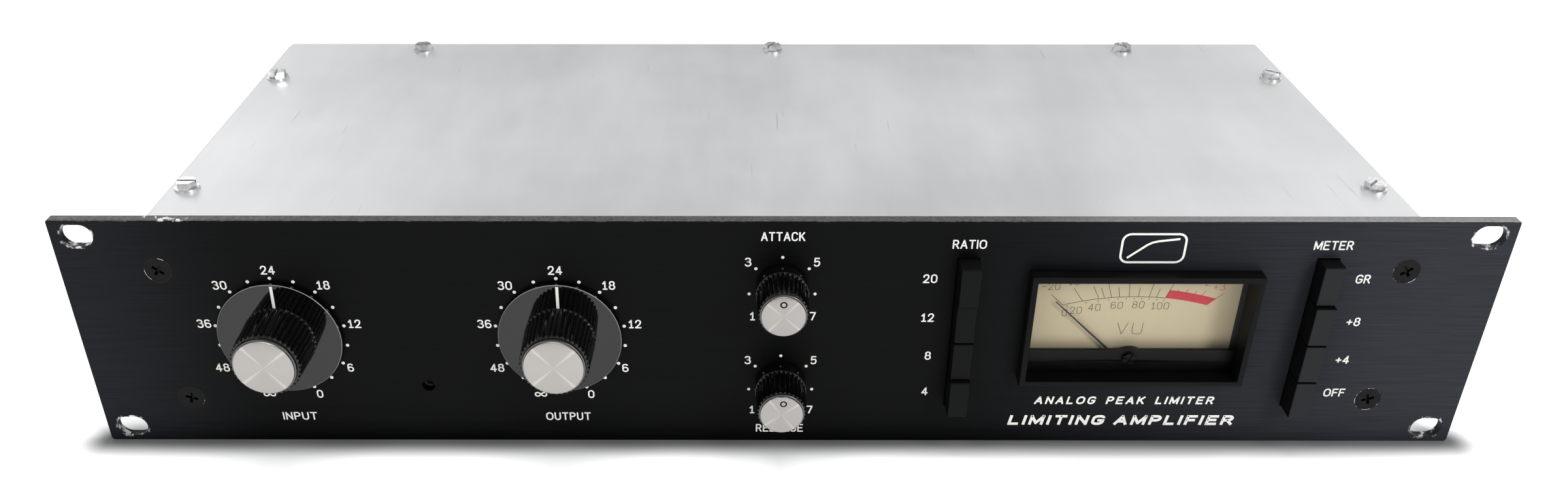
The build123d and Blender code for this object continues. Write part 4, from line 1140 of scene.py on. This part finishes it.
PERCENT_NUMBERS = {"0": -49.2, "20": -42.9, "40": -31.2, "60": -14.6, "80": 3.0, "100": ZERO_AT}
VU_NUMBERS = {
    "-20": (-29.6, 30.9), "10": (-22.0, 32.8), "7": (-15.6, 34.6), "5": (-10.9, 35.4),
    "3": (-3.8, 35.6), "1": (5.2, 35.6), "0": (11.8, 35.0),
}
RED_NUMBERS = {"+1": (16.8, 34.0), "+2": (22.4, 32.6), "+3": (27.8, 30.8)}
for text, angle in PERCENT_NUMBERS.items():
    mark(black_marks, text, *on_arc(angle, -3.2))
for shape, numbers in ((black_marks, VU_NUMBERS), (red_marks, RED_NUMBERS)):
    for text, place in numbers.items():
        mark(shape, text, *place)
mark(black_marks, "VU", -0.3, 14.2, 4.6, width=9.0)
finished("dial_black_print", black_marks, "meter_dial", BLACK_INK, replace=False)
finished("dial_red_print", red_marks, "meter_dial", RED_INK, replace=False)
print("dial printed, pivot at", PIVOT_X, PIVOT_Z)

# %% [markdown]
# ## Needle
# A real needle is a thin tapered strip, wider at its hub, with a short tail that balances it. It starts
# as a box whose far end is pinched, then the hub is joined on. It is turned to where the frame's needle
# rests.

# %% Needle
NEEDLE_LOW, NEEDLE_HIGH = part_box("meter_needle")
NEEDLE_T = NEEDLE_HIGH.y - NEEDLE_LOW.y
NEEDLE_L, NEEDLE_TAIL, NEEDLE_REST = 37.7, 2.9, 47.1
HUB_BACK, HUB_FRONT, ROOT_W, TIP_W = 2.35, 2.2, 0.95, 0.33
needle, hub = bmesh.new(), bmesh.new()
bmesh.ops.create_cube(needle, size=1)
long_edges = [edge for edge in needle.edges if abs(edge.verts[0].co.y - edge.verts[1].co.y) > 0.5]
bmesh.ops.subdivide_edges(needle, edges=long_edges, cuts=4)
for point in needle.verts:
    share = point.co.y + 0.5
    width = ROOT_W + (TIP_W - ROOT_W) * share
    along = -NEEDLE_TAIL + (NEEDLE_L + NEEDLE_TAIL) * share
    point.co = (point.co.x * width * MM, along * MM, point.co.z * NEEDLE_T * 0.9)
bmesh.ops.create_cone(
    hub, cap_ends=True, cap_tris=False, segments=32,
    radius1=HUB_BACK * MM, radius2=HUB_FRONT * MM, depth=NEEDLE_T,
)
join(needle, hub, Matrix.Identity(4))
spot = Matrix.Translation((PIVOT_X, (NEEDLE_LOW.y + NEEDLE_HIGH.y) / 2, PIVOT_Z))
needle.transform(spot @ UPRIGHT @ Matrix.Rotation(math.radians(NEEDLE_REST), 4, "Z"))
finished("meter_needle_tapered", needle, "meter_needle", NEEDLE_PAINT)
print("needle thickness:", round(NEEDLE_T, 5))

# %% [markdown]
# ## Floor
# The object stands on white paper. Only a soft contact shadow shows in a picture with a white ground, so
# the paper glows a little, to stay white, and near the panel's foot the glow fades and the paper is painted
# darker: a painted contact shadow.

# %% Floor
FLOOR_Z = min(cad_bounds[0].z, PANEL_FOOT)
sheet = Finish("white_paper", Specular_IOR_Level=0.1, Emission_Strength=0.45)
fibre = sheet.noise(3, detail=2)
along, across, _ = sheet.axes(origin=(0, FACE_Y, 0))
past_end = (abs(along) - PANEL_HALF_W).over(0.0)
from_foot = (past_end * past_end + across * across).math("SQRT")
paper_tone = sheet.blend(fibre, grey(0.93), grey(0.96))
shadow_tone = sheet.blend(from_foot.rise(0.5 * MM, 12 * MM), grey(0.2), paper_tone)
glow = sheet.blend(from_foot.rise(2 * MM, 20 * MM), grey(0.0), grey(1.0))
sheet.feed(Base_Color=shadow_tone, Roughness=0.85 + fibre * 0.1, Emission_Color=glow)
paper = bmesh.new()
bmesh.ops.create_grid(paper, x_segments=1, y_segments=1, size=6)
bmesh.ops.translate(paper, vec=(0, 0, FLOOR_Z - 0.02 * MM), verts=paper.verts)
paper_mesh = bpy.data.meshes.new("floor")
paper.to_mesh(paper_mesh)
paper.free()
floor = bpy.data.objects.new("floor", paper_mesh)
bpy.context.scene.collection.objects.link(floor)
repaint(floor, sheet)
print("floor at z =", round(FLOOR_Z, 4))

# %% [markdown]
# ## Lights
# The sky is even and nearly white. A softbox at the upper right throws the needle's shadow, and a long
# one overhead lights the top cover. Two cards behind and two strips high in front make the streaks in the
# glossy mouldings and skirts, and two low softboxes in front add a faint sheen to the brushed panel. Its
# stronger sheen towards the ends, most at the right, is painted into the dye.


# %% Lights
def softbox(name, place, aim, size, watts, tint=(1, 1, 1)):
    """A rectangular area light that faces a point."""
    data = bpy.data.lights.new(name, "AREA")
    data.shape = "RECTANGLE"
    data.size, data.size_y = size
    data.energy = watts
    data.color = tint
    lamp = bpy.data.objects.new(name, data)
    bpy.context.scene.collection.objects.link(lamp)
    lamp.location = place
    lamp.rotation_euler = (Vector(aim) - Vector(place)).to_track_quat("-Z", "Y").to_euler()
    return lamp


softbox("key_softbox", (0.7, -0.72, 0.55), (0.1, 0, 0), (0.25, 0.25), 4)
softbox("overhead_softbox", (0, 0.09, 1.2), (0, 0.05, 0), (0.9, 0.12), 6)
softbox("back_left_card", (-0.75, 0.95, 0.55), (-0.15, 0.1, 0), (0.5, 0.5), 1.05)
softbox("back_right_card", (0.75, 0.95, 0.55), (0.15, 0.1, 0), (0.5, 0.5), 0.65)
softbox("high_left_strip", (-0.5, -0.25, 0.9), (-0.05, 0, 0), (0.12, 0.3), 0.7)
softbox("high_right_strip", (0.45, -0.3, 0.9), (0, 0, 0), (0.12, 0.3), 0.7)
softbox("right_sheen", (0.64, -0.8, 0.3), (0.2, 0, 0), (0.4, 0.4), 1.2, (0.9, 0.94, 1))
softbox("left_sheen", (-0.66, -0.78, 0.25), (-0.2, 0, 0), (0.3, 0.3), 0.5)
world = bpy.data.worlds.new("studio")
world.use_nodes = True
sky = world.node_tree.nodes["Background"].inputs
sky["Color"].default_value = (0.97, 0.98, 1.0, 1)
sky["Strength"].default_value = 0.48
bpy.context.scene.world = world
bpy.context.scene.view_settings.view_transform = "Standard"
print("lights:", len(bpy.data.lights))

# %% [markdown]
# ## Camera
# The camera looks down at the panel from a little left of its centre. Its aim is slightly off centre in
# the frame, which the lens shift provides, so that the upright edges keep their lean.

# %% Camera
camera_data = bpy.data.cameras.new("camera")
camera_data.lens = 30.68
camera_data.sensor_width = 36
camera_data.shift_x = 0.0285
camera_data.shift_y = 0.0851
camera_data.clip_start = 0.01
camera = bpy.data.objects.new("camera", camera_data)
bpy.context.scene.collection.objects.link(camera)
camera.location = (-0.01336, FACE_Y - 0.39366, PANEL_FOOT + 0.2824)
camera.rotation_euler = (math.radians(90 - 32.827), 0, math.radians(0.119))
bpy.context.scene.camera = camera
print("camera at", tuple(round(v, 3) for v in camera.location))
